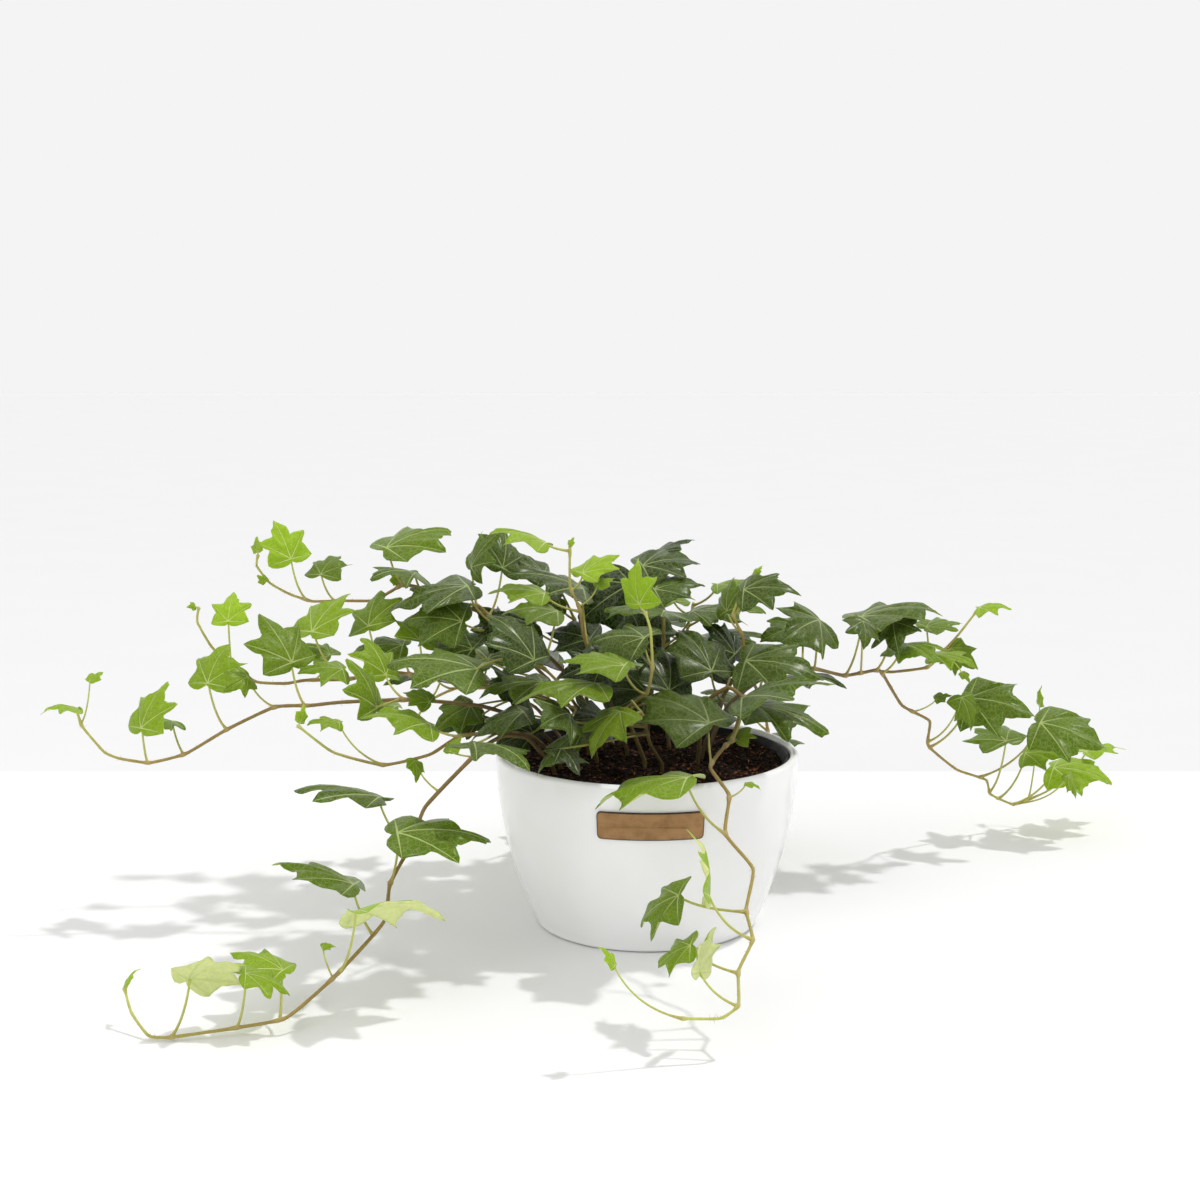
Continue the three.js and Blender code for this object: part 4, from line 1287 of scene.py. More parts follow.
STEMS = [
    StemPlan(
        "vine_far_left", (-48, -8),
        [(-71, -8, 122), (-99, -10, 132), (-140, -12, 136), (-179, -14, 135), (-198, -14, 133),
         (-219, -14, 132), (-247, -16, 119), (-271, -18, 105), (-292, -20, 100), (-309, -22, 103),
         (-318, -22, 107), (-330, -22, 122), (-333, -22, 132)],
        [(14, (-332, -22, 133), 22, -150, 0, 0, 1), (13.2, (-325, -22, 149), 11, 50, 20, 20, 1),
         (10.1, (-297, -18, 119), 34, 50, 50, 0, 0.66),
         (9.1, (-283, 6, 119), 26, -120, 0, 10, 0.46), (8, (-258, -14, 145), 33, 70, 40, 0, 0.56),
         (7, (-234, -12, 150), 20, -130, -20, 50, 0.46),
         (6.2, (-208, -12, 157), 40, 140, 40, 10, 0.46),
         (4.1, (-155, 2, 147), 32, 130, 40, -10, 0.66),
         (4.2, (-157, -32, 134), 35, 170, 60, 10, 0.46),
         (3.9, (-126, -30, 138), 17, 170, 20, 30, 0.46)],
    ),
    StemPlan(
        "vine_mid_left", (-35, 12),
        [(-52, 14, 127), (-88, 20, 139), (-133, 26, 142), (-153, 30, 144), (-183, 34, 139),
         (-208, 36, 138), (-220, 36, 136), (-238, 36, 137), (-253, 36, 147), (-265, 36, 159),
         (-273, 36, 174), (-272, 36, 183)],
        [(13, (-274, 36, 184), 7, -130, 0, 70, 1), (10, (-254, 34, 174), 24, 90, 40, 0, 1),
         (6, (-203, 30, 168), 40, 50, 30, 0, 0.55), (6.7, (-194, 48, 151), 24, 150, 10, 10, 0.45),
         (5.9, (-182, 18, 148), 29, -160, 0, 20, 0.45),
         (5.2, (-170, 44, 169), 35, 80, 30, -20, 0.55),
         (4.5, (-149, 55, 156), 35, 170, -10, 20, 0.25),
         (4, (-138, 36, 162), 30, 100, 20, -20, 0.65),
         (2.4, (-104, 0, 130), 29, -160, -30, 30, 0.35)],
    ),
    StemPlan(
        "vine_upper_left", (-25, 30),
        [(-46, 38, 138), (-71, 48, 161), (-102, 60, 176), (-128, 70, 184), (-144, 76, 190),
         (-153, 80, 190), (-161, 84, 185), (-172, 88, 179), (-194, 94, 178), (-212, 98, 177),
         (-227, 102, 181), (-240, 104, 188), (-248, 104, 199), (-247, 104, 206)],
        [(15, (-247, 104, 208), 12, 100, 50, 40, 1), (13.3, (-242, 100, 189), 8, 150, 30, 50, 1),
         (11.3, (-225, 100, 203), 31, 130, 50, 20, 0.92),
         (10.2, (-206, 94, 194), 28, 70, 20, 0, 0.42), (6.8, (-164, 86, 212), 48, 30, 10, 10, 0.42),
         (5.7, (-142, 70, 199), 36, -140, 0, 10, 0.22),
         (7.3, (-155, 82, 191), 10, 140, 50, 30, 0.72)],
    ),
    StemPlan(
        "vine_left_crown", (-28, 20),
        [(-60, 28, 140), (-77, 38, 156), (-90, 46, 170), (-102, 52, 181), (-109, 55, 182),
         (-120, 58, 183)],
        [(3.9, (-107, 44, 195), 56, -170, -20, 10, 0.2),
         (5.3, (-108, 62, 203), 31, -10, 50, 40, 0.2), (4.5, (-89, 66, 202), 34, 90, 40, 40, 0.2),
         (7, (-120, 54, 185), 12, -150, 20, 40, 0.6), (2, (-105, 40, 156), 35, 150, 0, 30, 0.1),
         (2.6, (-85, 60, 159), 34, 160, 40, 20, 0), (1.8, (-98, 14, 121), 32, -160, -20, 30, 0.1),
         (3.7, (-110, 24, 176), 38, 170, 0, 40, 0.15)],
    ),
    StemPlan(
        "vine_low_left", (-52, -22),
        [(-68, -40, 121), (-88, -50, 125), (-108, -56, 124), (-124, -62, 115), (-150, -66, 110),
         (-178, -68, 118), (-197, -68, 133)],
        [(6, (-174, -62, 133), 19, -170, 0, 10, 0.78), (8, (-196, -68, 135), 11, 70, 60, 70, 1),
         (4, (-123, -58, 131), 42, -160, 10, 10, 0.48),
         (2.9, (-99, -92, 129), 46, -40, -10, -10, 0.28)],
    ),
    StemPlan(
        "vine_front_left", (-55, -38),
        [(-69, -52, 122), (-82, -58, 125), (-95, -66, 119), (-124, -92, 93), (-130, -107, 77),
         (-140, -130, 61), (-142, -147, 45), (-164, -172, 25), (-187, -190, 9), (-210, -193, 5),
         (-244, -199, 2), (-256, -197, 2), (-267, -186, 10), (-272, -178, 20)],
        [(6.2, (-148, -90, 97), 52, 170, 0, -10, 0.26),
         (7, (-138, -126, 87), 54, 10, -10, 10, 0.22),
         (8.3, (-158, -132, 60), 48, 170, 10, -10, 0.35),
         (8.9, (-155, -177, 60), 50, 20, -10, -30, 0.8),
         (9.1, (-173, -160, 36), 8, 30, -10, 20, 0.7),
         (12, (-238, -186, 27), 36, -20, 20, -40, 0.8),
         (10.2, (-191, -170, 26), 33, 160, 10, 0, 0.7),
         (11.1, (-208, -192, 33), 26, 10, -30, 10, 0.7),
         (4.7, (-132, -70, 114), 15, -80, -50, -30, 0.6),
         (4.2, (-112, -70, 118), 14, 60, 30, 0, 0.8), (15, (-272, -178, 21), 12, 40, 40, -20, 1)],
    ),
    StemPlan(
        "vine_front_right", (30, -10),
        [(33, -20, 135), (46, -30, 147), (54, -40, 142), (47, -57, 123), (42, -64, 120),
         (33, -84, 113), (42, -106, 103), (39, -126, 87), (52, -150, 75), (47, -172, 60),
         (49, -190, 50), (41, -205, 39), (40, -220, 27), (31, -225, 22), (12, -228, 23)],
        [(9, (21, -112, 114), 58, 170, -20, 0, 0.45), (8.1, (51, -104, 109), 9, -10, -20, 10, 0.66),
         (12, (27, -190, 71), 37, 120, 60, -60, 0.96),
         (11.1, (13, -182, 71), 35, 140, -40, 40, 0.45),
         (13.1, (18, -204, 52), 26, 150, -40, 30, 0.62),
         (14.1, (21, -216, 41), 26, 10, 70, -40, 0.96), (16, (-21, -236, 52), 13, 170, 50, 10, 1),
         (6.8, (35, -58, 131), 54, 140, 10, 10, 0.22), (5.8, (49, -54, 121), 16, 50, 20, 10, 0.66),
         (5, (51, -54, 145), 56, -10, 10, 0, 0.14)],
        ripe=(0.3, 1.0),
    ),
    StemPlan(
        "vine_upright", (34, 8),
        [(45, 12, 131), (57, 16, 151), (58, 18, 167), (52, 20, 181), (55, 22, 190)],
        [(5, (57, 20, 196), 35, -10, 0, 30, 0.2), (4.3, (49, 30, 181), 26, 70, 50, -40, 0.3),
         (6, (66, 36, 203), 8, 30, 40, 10, 0.8), (2.7, (57, 4, 156), 48, -10, -10, 30, 0.2),
         (2, (38, -8, 151), 42, 120, 30, 0, 0.2), (2, (55, 38, 153), 32, 160, 40, 20, 0)],
    ),
    StemPlan(
        "vine_far_right", (38, 16),
        [(50, 28, 124), (74, 44, 139), (102, 60, 141), (126, 76, 133), (140, 86, 133),
         (152, 94, 132), (169, 112, 106), (190, 128, 92), (192, 142, 72), (215, 160, 51),
         (238, 175, 40), (243, 182, 28), (261, 192, 18), (273, 198, 20)],
        [(4.2, (108, 56, 172), 44, -130, -10, 40, 0.22),
         (3.8, (103, 90, 161), 34, -160, -10, 30, 0.12), (5.1, (136, 86, 168), 60, 20, 0, 0, 0.32),
         (5.8, (135, 60, 171), 24, -90, -40, -20, 0.22),
         (6.7, (158, 86, 166), 33, -90, -30, 20, 0.22),
         (7.1, (164, 92, 150), 36, -60, -10, 10, 0.42),
         (8.4, (192, 120, 108), 12, 10, 10, 30, 0.52),
         (9.8, (209, 122, 110), 24, -30, -70, 30, 0.52),
         (10.1, (217, 144, 104), 48, -20, -10, 40, 0.22),
         (11.7, (271, 168, 82), 50, -20, -20, 30, 0.22),
         (12.8, (249, 160, 70), 39, 110, 0, 10, 0.42), (13.4, (267, 190, 55), 32, -30, 0, 30, 0.72),
         (14, (288, 196, 43), 43, -20, -10, 20, 0.72),
         (14.4, (292, 166, 46), 18, -40, -70, 0, 0.62), (15, (314, 210, 51), 32, 10, 0, 0, 0.92),
         (15, (282, 212, 84), 15, 50, 80, -40, 1), (2.9, (63, 6, 129), 50, -20, -20, 10, 0.22)],
        branch=[(152, 94, 132), (161, 98, 131), (184, 108, 132), (193, 112, 140), (205, 118, 151),
                (218, 124, 166)],
        branch_leaves=[(2.4, (183, 114, 157), 28, 20, 0, 10, 0.34),
                       (2, (185, 98, 142), 30, -30, -10, 10, 0.54),
                       (3.2, (200, 118, 143), 24, -30, -30, 50, 0.64),
                       (5, (219, 124, 168), 22, -10, 0, 10, 1),
                       (3, (206, 106, 129), 9, -30, -50, 30, 0.84)],
    ),
    StemPlan(
        "crown_lime_shoot", (-2, -18),
        [(-13, -30, 133), (-1, -36, 145), (2, -36, 160), (1, -32, 181), (-2, -30, 191)],
        [(6, (-5, -30, 195), 27, 120, 80, 70, 0.9), (4, (-1, -26, 175), 42, 150, -10, 20, 0.2),
         (2.9, (-13, -54, 164), 40, 170, 0, 10, 0.5), (2.1, (12, -16, 141), 40, 90, 30, 30, 0.1)],
        ripe=(0.5, 1.1),
    ),
    StemPlan(
        "crown_tall_shoot", (-12, 10),
        [(-22, 14, 130), (-33, 18, 154), (-38, 20, 169), (-40, 22, 184), (-46, 24, 198),
         (-46, 26, 222)],
        [(7, (-46, 22, 223), 6, 40, 50, 20, 1), (6.8, (-60, 28, 223), 36, 170, 10, 0, 0.9),
         (5.8, (-39, 24, 205), 29, 30, 20, 10, 0.8), (5.2, (-30, 22, 198), 13, 30, 20, 20, 0.9),
         (4.9, (-60, 16, 194), 35, -180, 0, 10, 0.5), (3.2, (-37, 60, 190), 50, -170, 10, 10, 0.1),
         (2.5, (-26, 10, 154), 32, -150, -10, 50, 0)],
    ),
    StemPlan(
        "crown_front_left", (-30, -14),
        [(-37, -22, 126), (-48, -28, 145), (-60, -30, 158), (-74, -30, 166)],
        [(5, (-96, -40, 159), 57, 170, 0, 10, 0.18), (4, (-65, -42, 164), 40, 150, 40, 10, 0.08),
         (3, (-28, -54, 154), 52, -160, -10, 0, 0.48), (4.2, (-52, 0, 186), 35, -170, 0, 10, 0.38),
         (3, (-60, -20, 148), 39, -170, -10, 10, 0.38),
         (2.4, (-73, 6, 137), 35, -130, 10, 50, 0.08), (2.2, (-66, -34, 120), 32, 140, 0, 30, 0.08),
         (2.4, (-45, -70, 140), 33, -120, 0, 40, 0.08)],
        ripe=(0.25, 0.9),
    ),
    StemPlan(
        "crown_front", (8, -30),
        [(1, -42, 116), (-4, -50, 135), (-10, -52, 144)],
        [(3.2, (-16, -64, 141), 34, -130, -40, 0, 0.58),
         (2.4, (-35, -56, 129), 39, -160, -40, 0, 0.18),
         (2.6, (-70, -58, 139), 36, -170, -30, 10, 0.18),
         (2.4, (-50, -88, 125), 24, -60, -30, -10, 0.08),
         (3, (-24, -20, 124), 33, -130, 10, 50, 0.08)],
        ripe=(0.25, 0.9),
    ),
    StemPlan(
        "crown_back_right", (14, 24),
        [(9, 34, 132), (11, 44, 162), (10, 52, 185), (6, 58, 200)],
        [(4.6, (-3, 58, 205), 40, 20, 0, 20, 0.1), (5, (4, 92, 206), 30, 10, 20, 0, 0.1),
         (4, (4, 40, 193), 36, 20, 0, 20, 0.1), (3, (13, 34, 181), 49, -140, 0, 0, 0.1),
         (2.8, (28, 58, 177), 39, -30, -10, 10, 0.2), (2.6, (-3, 44, 162), 37, 70, 30, 30, 0),
         (2.4, (35, 40, 145), 44, 90, 10, 30, 0), (4.8, (-7, 90, 190), 45, -160, -30, 50, 0.05),
         (1.6, (2, 30, 131), 39, 170, 0, 40, 0.05)],
        ripe=(0.25, 0.9),
    ),
    StemPlan(
        "crown_back_left", (-16, 42),
        [(-32, 54, 135), (-44, 64, 171), (-53, 70, 189)],
        [(4, (-63, 88, 195), 31, 170, 20, 20, 0.1), (3, (-53, 62, 184), 31, -170, -20, 20, 0.1),
         (2.5, (-68, 42, 171), 36, -160, -10, 30, 0), (2.5, (-33, 36, 163), 34, 150, 0, 30, 0)],
        ripe=(0.25, 0.9),
    ),
    StemPlan(
        "vine_back_left", (-34, 50),
        [(-38, 66, 130), (-48, 86, 136), (-60, 106, 118), (-66, 124, 90), (-60, 142, 60),
         (-46, 156, 34), (-28, 168, 12), (-8, 178, 3), (14, 186, 3)],
        grown=GrownLeaves(7, 1.6, 9.6, 4, 47),
    ),
    StemPlan(
        "vine_back", (2, 60),
        [(6, 74, 132), (12, 94, 134), (18, 112, 110), (22, 128, 80), (14, 140, 52), (0, 148, 30),
         (-16, 152, 18)],
        grown=GrownLeaves(6, 1.4, 7.6, 12, 46),
    ),
    StemPlan(
        "vine_back_right", (42, 46),
        [(52, 62, 130), (64, 80, 134), (76, 98, 114), (82, 116, 86), (76, 132, 58), (62, 146, 34),
         (46, 158, 16), (30, 168, 9)],
        grown=GrownLeaves(6, 2.2, 8.6, 52, 47),
    ),
    StemPlan(
        "crown_rear", (20, 64),
        [(24, 78, 140), (28, 90, 162), (32, 98, 176)],
        grown=GrownLeaves(6, 1.7, 4, 10, 46),
    ),
    StemPlan(
        "crown_rear_left", (-52, 36),
        [(-68, 50, 118), (-92, 66, 126), (-118, 82, 124), (-140, 102, 110), (-152, 122, 88)],
        grown=GrownLeaves(5, 2.4, 6, 1, 42),
    ),
]


class StemLine:
    """A stem's centre line: cubic stretches through its points, which turn softly at each one."""

    SOFTNESS = 0.26

    def __init__(self, points: Sequence[Point]) -> None:
        """Keeps the points and works out the way through each.

        Args:
            points: The points that the line runs through.
        """
        self.points = np.array(points, float)
        self.last = len(points) - 1
        before = np.vstack([self.points[:1], self.points[:-1]])
        after = np.vstack([self.points[1:], self.points[-1:]])
        self.ways = (after - before) * self.SOFTNESS

    def at(self, counts: np.ndarray | float) -> np.ndarray:
        """Points of the line at counts of its points.

        Args:
            counts: Places, so 2.5 is halfway from point 2 to point 3.

        Returns:
            The points.
        """
        counts = np.asarray(counts, float)
        i = np.clip(np.floor(counts).astype(int), 0, self.last - 1)
        t = (counts - i)[..., None]
        return hermite(t, self.points[i], self.points[i + 1], self.ways[i], self.ways[i + 1])

    def straight(self, count: float) -> np.ndarray:
        """The point at a count if the stretches were straight."""
        i = min(int(count), self.last - 1)
        return self.points[i] + (count - i) * (self.points[i + 1] - self.points[i])


@dataclass(frozen=True)
class StemSizes:
    """Sizes of the stems, the leaf stalks and the rootlets, and how green the branch is."""

    root_depth: float = 12.0
    collar: float = 4.0
    root_radius: float = 1.3
    branch_radius: float = 1.0
    branch_ripe: Pair = (0.3, 0.9)
    tip_radius: float = 0.7
    joint_swell: float = 0.55
    joint_reach: float = 1.7
    stations: int = 8
    sides: int = 12
    stalk_radius: float = 0.78
    stalk_stations: int = 14
    stalk_sides: int = 8
    stalk_bend: Point = (0.7, 0.7, 0.25)
    hairs_per_point: int = 7
    hair_length: Pair = (0.9, 2.4)
    hair_radius: float = 0.13
    hair_marks: Pair = (0.35, 0.5)
    lowest_hair: float = 0.3


class BladeForm:
    """The flat shape of a blade and its relief, worked out once for each form.

    Its points are (u, v) in shares of the blade's length: u from the stalk to the tip, v to the
    side. Ring k lies at a share s of the way from the vein centre to the outline. A knot is a
    place, the way in, the way out and the steps to it; DEEPER is how a notch's knot moves.
    """

    CENTRE = 0.03
    VEIN_WIDTH = 0.03
    SHARES = (0.16, 0.36, 0.56, 0.74, 0.89, 1.0)
    LOBED = [
        ((1.00, 0.00), (-0.80, 0.55), (-0.80, 0.55), 0),
        ((0.64, 0.23), (-0.80, 0.00), (0.00, 0.95), 7),
        ((0.60, 0.51), (0.20, 0.85), (-0.90, -0.10), 5),
        ((0.34, 0.40), (-0.70, -0.40), (-0.60, 0.35), 4),
        ((0.05, 0.48), (-0.85, 0.25), (-0.70, -0.55), 4),
        ((-0.02, 0.0), (0.75, -0.60), (0.75, -0.60), 5),
    ]
    DEEPER = ((0.0, 0.0), (-0.05, -0.04), (0.0, 0.0), (-0.01, -0.045), (0.0, 0.0), (0.0, 0.0))
    BUD = [
        ((1.00, 0.00), (-0.80, 0.50), (-0.80, 0.50), 0),
        ((0.55, 0.18), (-0.80, 0.0), (-0.10, 0.95), 6),
        ((0.46, 0.42), (0.20, 0.80), (-0.85, -0.10), 4),
        ((0.02, 0.34), (-0.80, 0.10), (-0.40, -0.75), 5),
        ((-0.02, 0.0), (0.70, -0.60), (0.70, -0.60), 5),
    ]

    def __init__(self, growth: Growth) -> None:
        """Works out the rings of the form.

        Args:
            growth: Which form it is.
        """
        knots = self.BUD if growth is Growth.BUD else self._lobed(growth.value)
        self.tips = [knots[k][0] for k in range(0, len(knots) - 1, 2)]
        half = self._half_outline(knots)
        outline = np.concatenate([half, half[-2:0:-1] * np.array([1, -1])])
        self.columns = len(outline)
        centre = np.array([self.CENTRE, 0.0])
        rings = centre + np.array(self.SHARES)[:, None, None] * (outline[None] - centre)
        self.flat = np.concatenate([rings.reshape(-1, 2), centre[None]])
        self.share = np.concatenate([np.repeat(self.SHARES, self.columns), [0.0]])
        self.turn = np.concatenate([np.tile(full_turn(self.columns), len(self.SHARES)), [0.0]])
        self.veins = self._vein_lines()

    @classmethod
    def _lobed(cls, depth: float) -> list[tuple]:
        """The five-lobed form with its notches moved in by a depth, or out where it is below 0.

        Args:
            depth: The depth, where 1 moves them by DEEPER.

        Returns:
            The knots.
        """
        return [
            ((u + depth * du, v + depth * dv), *ways)
            for ((u, v), *ways), (du, dv) in zip(cls.LOBED, cls.DEEPER)
        ]

    @staticmethod
    def _half_outline(knots: list[tuple]) -> np.ndarray:
        """Half the outline: a cubic from knot to knot, with the ways given at each.

        Args:
            knots: The form's knots.

        Returns:
            Its points.
        """
        parts = [np.array([knots[0][0]])]
        for (start, _, leaving, _), (end, arriving, _, steps) in zip(knots, knots[1:]):
            a, b = np.array(start), np.array(end)
            reach = np.linalg.norm(b - a)
            t = (np.arange(1, steps + 1) / steps)[:, None]
            parts.append(hermite(t, a, b, np.array(leaving) * reach, np.array(arriving) * reach))
        return np.concatenate(parts)

    def _vein_lines(self) -> np.ndarray:
        """How close points are to a main vein: exp(-(off / width)^2), fading to the margin.

        Returns:
            The closeness of each point, 0 to 1.
        """
        u, v = self.flat[:, 0] - self.CENTRE, np.abs(self.flat[:, 1])
        close = np.zeros(len(u))
        for tip_u, tip_v in self.tips:
            length = math.hypot(tip_u - self.CENTRE, tip_v)
            off = np.abs(u * tip_v - v * (tip_u - self.CENTRE)) / length
            close = np.maximum(close, np.exp(-((off / self.VEIN_WIDTH) ** 2)))
        return close * (1 - self.share**3)

    def faces(self) -> list[np.ndarray]:
        """Faces of a blade with an upper and a lower skin, joined round its margin.

        Returns:
            The blocks of faces.
        """
        rows, columns, count = len(self.SHARES), self.columns, len(self.flat)
        centre_fan = fan_faces(count - 1, 0, columns, flipped=False)
        upper = [band_faces(rows, columns)[:, ::-1], centre_fan]
        lower = [block[:, ::-1] + count for block in upper]
        here = np.arange(columns)
        ring = np.stack([here, (here + 1) % columns]) + (rows - 1) * columns
        margin = np.stack([ring[0], ring[0] + count, ring[1] + count, ring[1]], axis=1)
        return [*upper, *lower, margin]


@dataclass(frozen=True)
class BladeSizes:
    """How a blade is folded and arched, in shares of its length, and its thickness."""

    thickness: float = 0.5
    fold: float = -0.12
    fold_round: float = 0.05
    arch: float = 0.4
    joint_place: float = 0.05
    joint_height: float = 0.012
    youngest_lobed: float = 16.0
    quilt: float = 0.018
    droop: float = 0.2
    wave: float = 0.026
    teeth: float = 0.022
    curl: float = 0.5
    curl_start: float = 0.7
    sway: float = 0.12
    lopsided: float = 0.16


def blade_axes(leaf: Leaf) -> tuple[np.ndarray, np.ndarray, np.ndarray]:
    """The directions of a blade: along its midrib, across it, and out of its upper face.

    along = (cos r cos h, cos r sin h, sin r), upright is what is left of +Z square to it, level is
    square to both and points to the front, and out = upright cos(lean) + level sin(lean).

    Args:
        leaf: The leaf.

    Returns:
        The three directions.
    """
    turn, climb, tilt = (math.radians(angle) for angle in (leaf.heading, leaf.rise, leaf.lean))
    flat = math.cos(climb)
    along = np.array([flat * math.cos(turn), flat * math.sin(turn), math.sin(climb)])
    upright = unit(np.array([0.0, 0.0, 1.0]) - along[2] * along)
    level = np.cross(along, upright)
    if level[1] > 0:
        level = -level
    out = upright * math.cos(tilt) + level * math.sin(tilt)
    return along, np.cross(out, along), out


class Ivy:
    """All the leafy stems: each is a piece of stems and a piece of blades."""

    SEED = 11
    NOTCHES = (Growth.SHALLOW, Growth.LOBED, Growth.DEEP)

    def __init__(self, plans: Sequence[StemPlan], soil: Soil) -> None:
        """Keeps the plans and prepares the forms of the blades.

        Args:
            plans: What stems there are.
            soil: What they grow from.
        """
        self.plans = plans
        self.soil = soil
        self.stem = StemSizes()
        self.blade = BladeSizes()
        self.forms = {growth: BladeForm(growth) for growth in Growth}

    def blade_patch(self, leaf: Leaf, draw: np.random.Generator) -> Patch:
        """One blade: base + L (along u + across v + out h(u, v)), give or take half its thickness.

        The outline is toothed by sin(11 a + p) + .6 sin(17 a), times its share^4, with one side
        wider and the tip to one side. h = fold |v|, rounded at the midrib, + arch (u - u^2)
        - droop v^2 - curl (u - curl start)^2 + quilting between the veins + a wave of 5 and 9
        turns, times its share^2. The leaf's seven draws set how much of each there is, and how
        deep its notches are, which are deeper on young leaves.

        Args:
            leaf: The leaf.
            draw: The seeded draw.

        Returns:
            The blade's patch.
        """
        sizes = self.blade
        ruffle, curl, slant, flutter, side, whim, depth = draw.random(7)
        notch = self.NOTCHES[min(int((0.8 * depth + 0.5 * leaf.youth) * 3 + 0.7), 2)]
        form = self.forms[Growth.BUD if leaf.length < sizes.youngest_lobed else notch]
        teeth = np.sin(11 * form.turn + 6.3 * ruffle) + 0.6 * np.sin(17 * form.turn)
        u, v = form.flat.T * (1 + sizes.teeth * teeth * form.share**4)
        v = v * (1 + sizes.lopsided * (side - 0.5) * np.sign(v))
        u = u + sizes.lopsided * (slant - 0.5) * v
        wave = np.sin(5 * form.turn + 6.3 * slant) + 0.7 * np.sin(9 * form.turn + 6.3 * flutter)
        height = (
            sizes.fold * (np.sqrt(v * v + sizes.fold_round**2) - sizes.fold_round)
            + sizes.arch * (u - u * u)
            - sizes.droop * (0.5 + ruffle) * v * v
            - sizes.curl * curl * np.maximum(u - sizes.curl_start, 0) ** 2
            + sizes.quilt * form.share * (1 - form.veins)
            + sizes.wave * wave * form.share**2
        )
        v = v + sizes.sway * (side - 0.5) * u * u
        along, across, out = blade_axes(leaf)
        spread = np.outer(u, along) + np.outer(v, across) + np.outer(height, out)
        middle = np.array(leaf.base) + leaf.length * spread
        half = 0.5 * sizes.thickness * (1 - 0.6 * form.share**4)[:, None] * out
        count = len(u)
        marks = {
            "youth": np.full(2 * count, leaf.youth),
            "upper": np.repeat([1.0, 0.0], count),
            "whim": np.full(2 * count, whim),
        }
        place = np.tile(form.flat + np.array([0, 0.5]), (2, 1))
        return Patch(np.concatenate([middle + half, middle - half]), form.faces(), marks, place)

    def stalk_patch(self, foot: np.ndarray, leaf: Leaf) -> Patch:
        """A leaf stalk: Bezier's quadratic from the stem, out and then up, into the blade's base.

        Its radius is r (1 + 0.75 exp(-(t / 0.07)^2) - 0.25 t), with r less on a small leaf.

        Args:
            foot: Where it leaves the stem.
            leaf: The leaf.

        Returns:
            The stalk's patch.
        """
        along, _, out = blade_axes(leaf)
        sizes = self.stem
        joint = self.blade.joint_place * along + self.blade.joint_height * out
        end = np.array(leaf.base) + leaf.length * joint
        bend = foot + (end - foot) * np.array(sizes.stalk_bend)
        way = np.linspace(0, 1, sizes.stalk_stations)
        t = way[:, None]
        path = (1 - t) ** 2 * foot + 2 * t * (1 - t) * bend + t**2 * end
        radius = sizes.stalk_radius * min(1.0, 0.55 + leaf.length / 70)
        radii = radius * (1 + 0.75 * np.exp(-((way / 0.07) ** 2)) - 0.25 * way)
        patch = tube(path, radii, sizes.stalk_sides)
        shown = patch.marks.pop("way")
        patch.marks["ripe"] = np.clip(0.55 + 0.25 * leaf.youth + 0.3 * shown, 0, 1)
        patch.marks["joint"] = 0.5 * np.exp(-((shown / 0.05) ** 2))
        return patch

    def rod_patch(self, line: StemLine, feet: Sequence[float], radius: float, ripe: Pair) -> Patch:
        """A stem that thins to its tip, swells at each leaf's foot and is slightly uneven.

        A foot's swelling is exp(-(distance / reach)^2) of the joint's, and the unevenness is
        1 + .04 sin(.9 l) + .03 sin(.37 l + 1) at a length l. Its green goes up with share^2.4.

        Args:
            line: Its centre line.
            feet: The places of the feet along it.
            radius: Its radius at the start.
            ripe: How ripe green its start and its tip are.

        Returns:
            The stem's patch.
        """
        sizes = self.stem
        counts = np.linspace(0, line.last, line.last * sizes.stations + 1)
        path = line.at(counts)
        share = counts / line.last
        length = distances(path)
        off = (length[:, None] - np.interp(feet, counts, length)[None]) / sizes.joint_reach
        swell = np.exp(-(off**2)).max(axis=1)
        radii = radius + (sizes.tip_radius - radius) * share
        radii *= 1 + 0.04 * np.sin(length * 0.9) + 0.03 * np.sin(length * 0.37 + 1)
        patch = tube(path, radii + sizes.joint_swell * swell, sizes.sides)
        green = ripe[0] + (ripe[1] - ripe[0]) * share**2.4
        marks = {"ripe": green, "joint": swell * 0.8}
        patch.marks = {mark: per_point(values, sizes.sides) for mark, values in marks.items()}
        return patch

    def hair_patch(self, line: StemLine, radius: float, draw: np.random.Generator) -> Patch:
        """Short clinging rootlets that stand off the stem, most of them next to its joints.

        Each is a slim cone from p + 0.7 r d to p + (r + length) d + 0.4 length n a, where d is a
        seeded way square to the stem, a is the stem's own way and n is a normal draw.

        Args:
            line: The stem's centre line.
            radius: The stem's radius.
            draw: The seeded draw.

        Returns:
            All the rootlets as one patch.
        """
        sizes = self.stem
        count = sizes.hairs_per_point * (line.last - 1)
        near = np.round(1 + draw.random(count) * (line.last - 1)) + 0.22 * draw.normal(size=count)
        places = np.clip(near, 1.2, line.last - 0.01)
        foot = line.at(places)
        along = unit(line.at(places + 0.01) - foot)
        way = unit(np.cross(along, draw.normal(size=(count, 3))))
        beside = np.cross(along, way)
        short, long = sizes.hair_length
        length = (short + (long - short) * draw.random(count))[:, None]
        turn = np.radians([0, 120, 240])[None, :, None]
        ring = along[:, None] * np.cos(turn) + beside[:, None] * np.sin(turn)
        root = foot + 0.7 * radius * way
        tip = foot + (radius + length) * way + 0.4 * length * along * draw.normal(size=(count, 1))
        tip[:, 2] = np.maximum(tip[:, 2], sizes.lowest_hair)
        points = np.concatenate([root[:, None] + sizes.hair_radius * ring, tip[:, None]], axis=1)
        corners = np.array([[0, 2, 1], [0, 1, 3], [1, 2, 3], [2, 0, 3]])
        faces = (corners[None] + 4 * np.arange(count)[:, None, None]).reshape(-1, 3)
        ripe, joint = sizes.hair_marks
        marks = {"ripe": np.full(4 * count, ripe), "joint": np.full(4 * count, joint)}
        return Patch(points.reshape(-1, 3), [faces], marks)

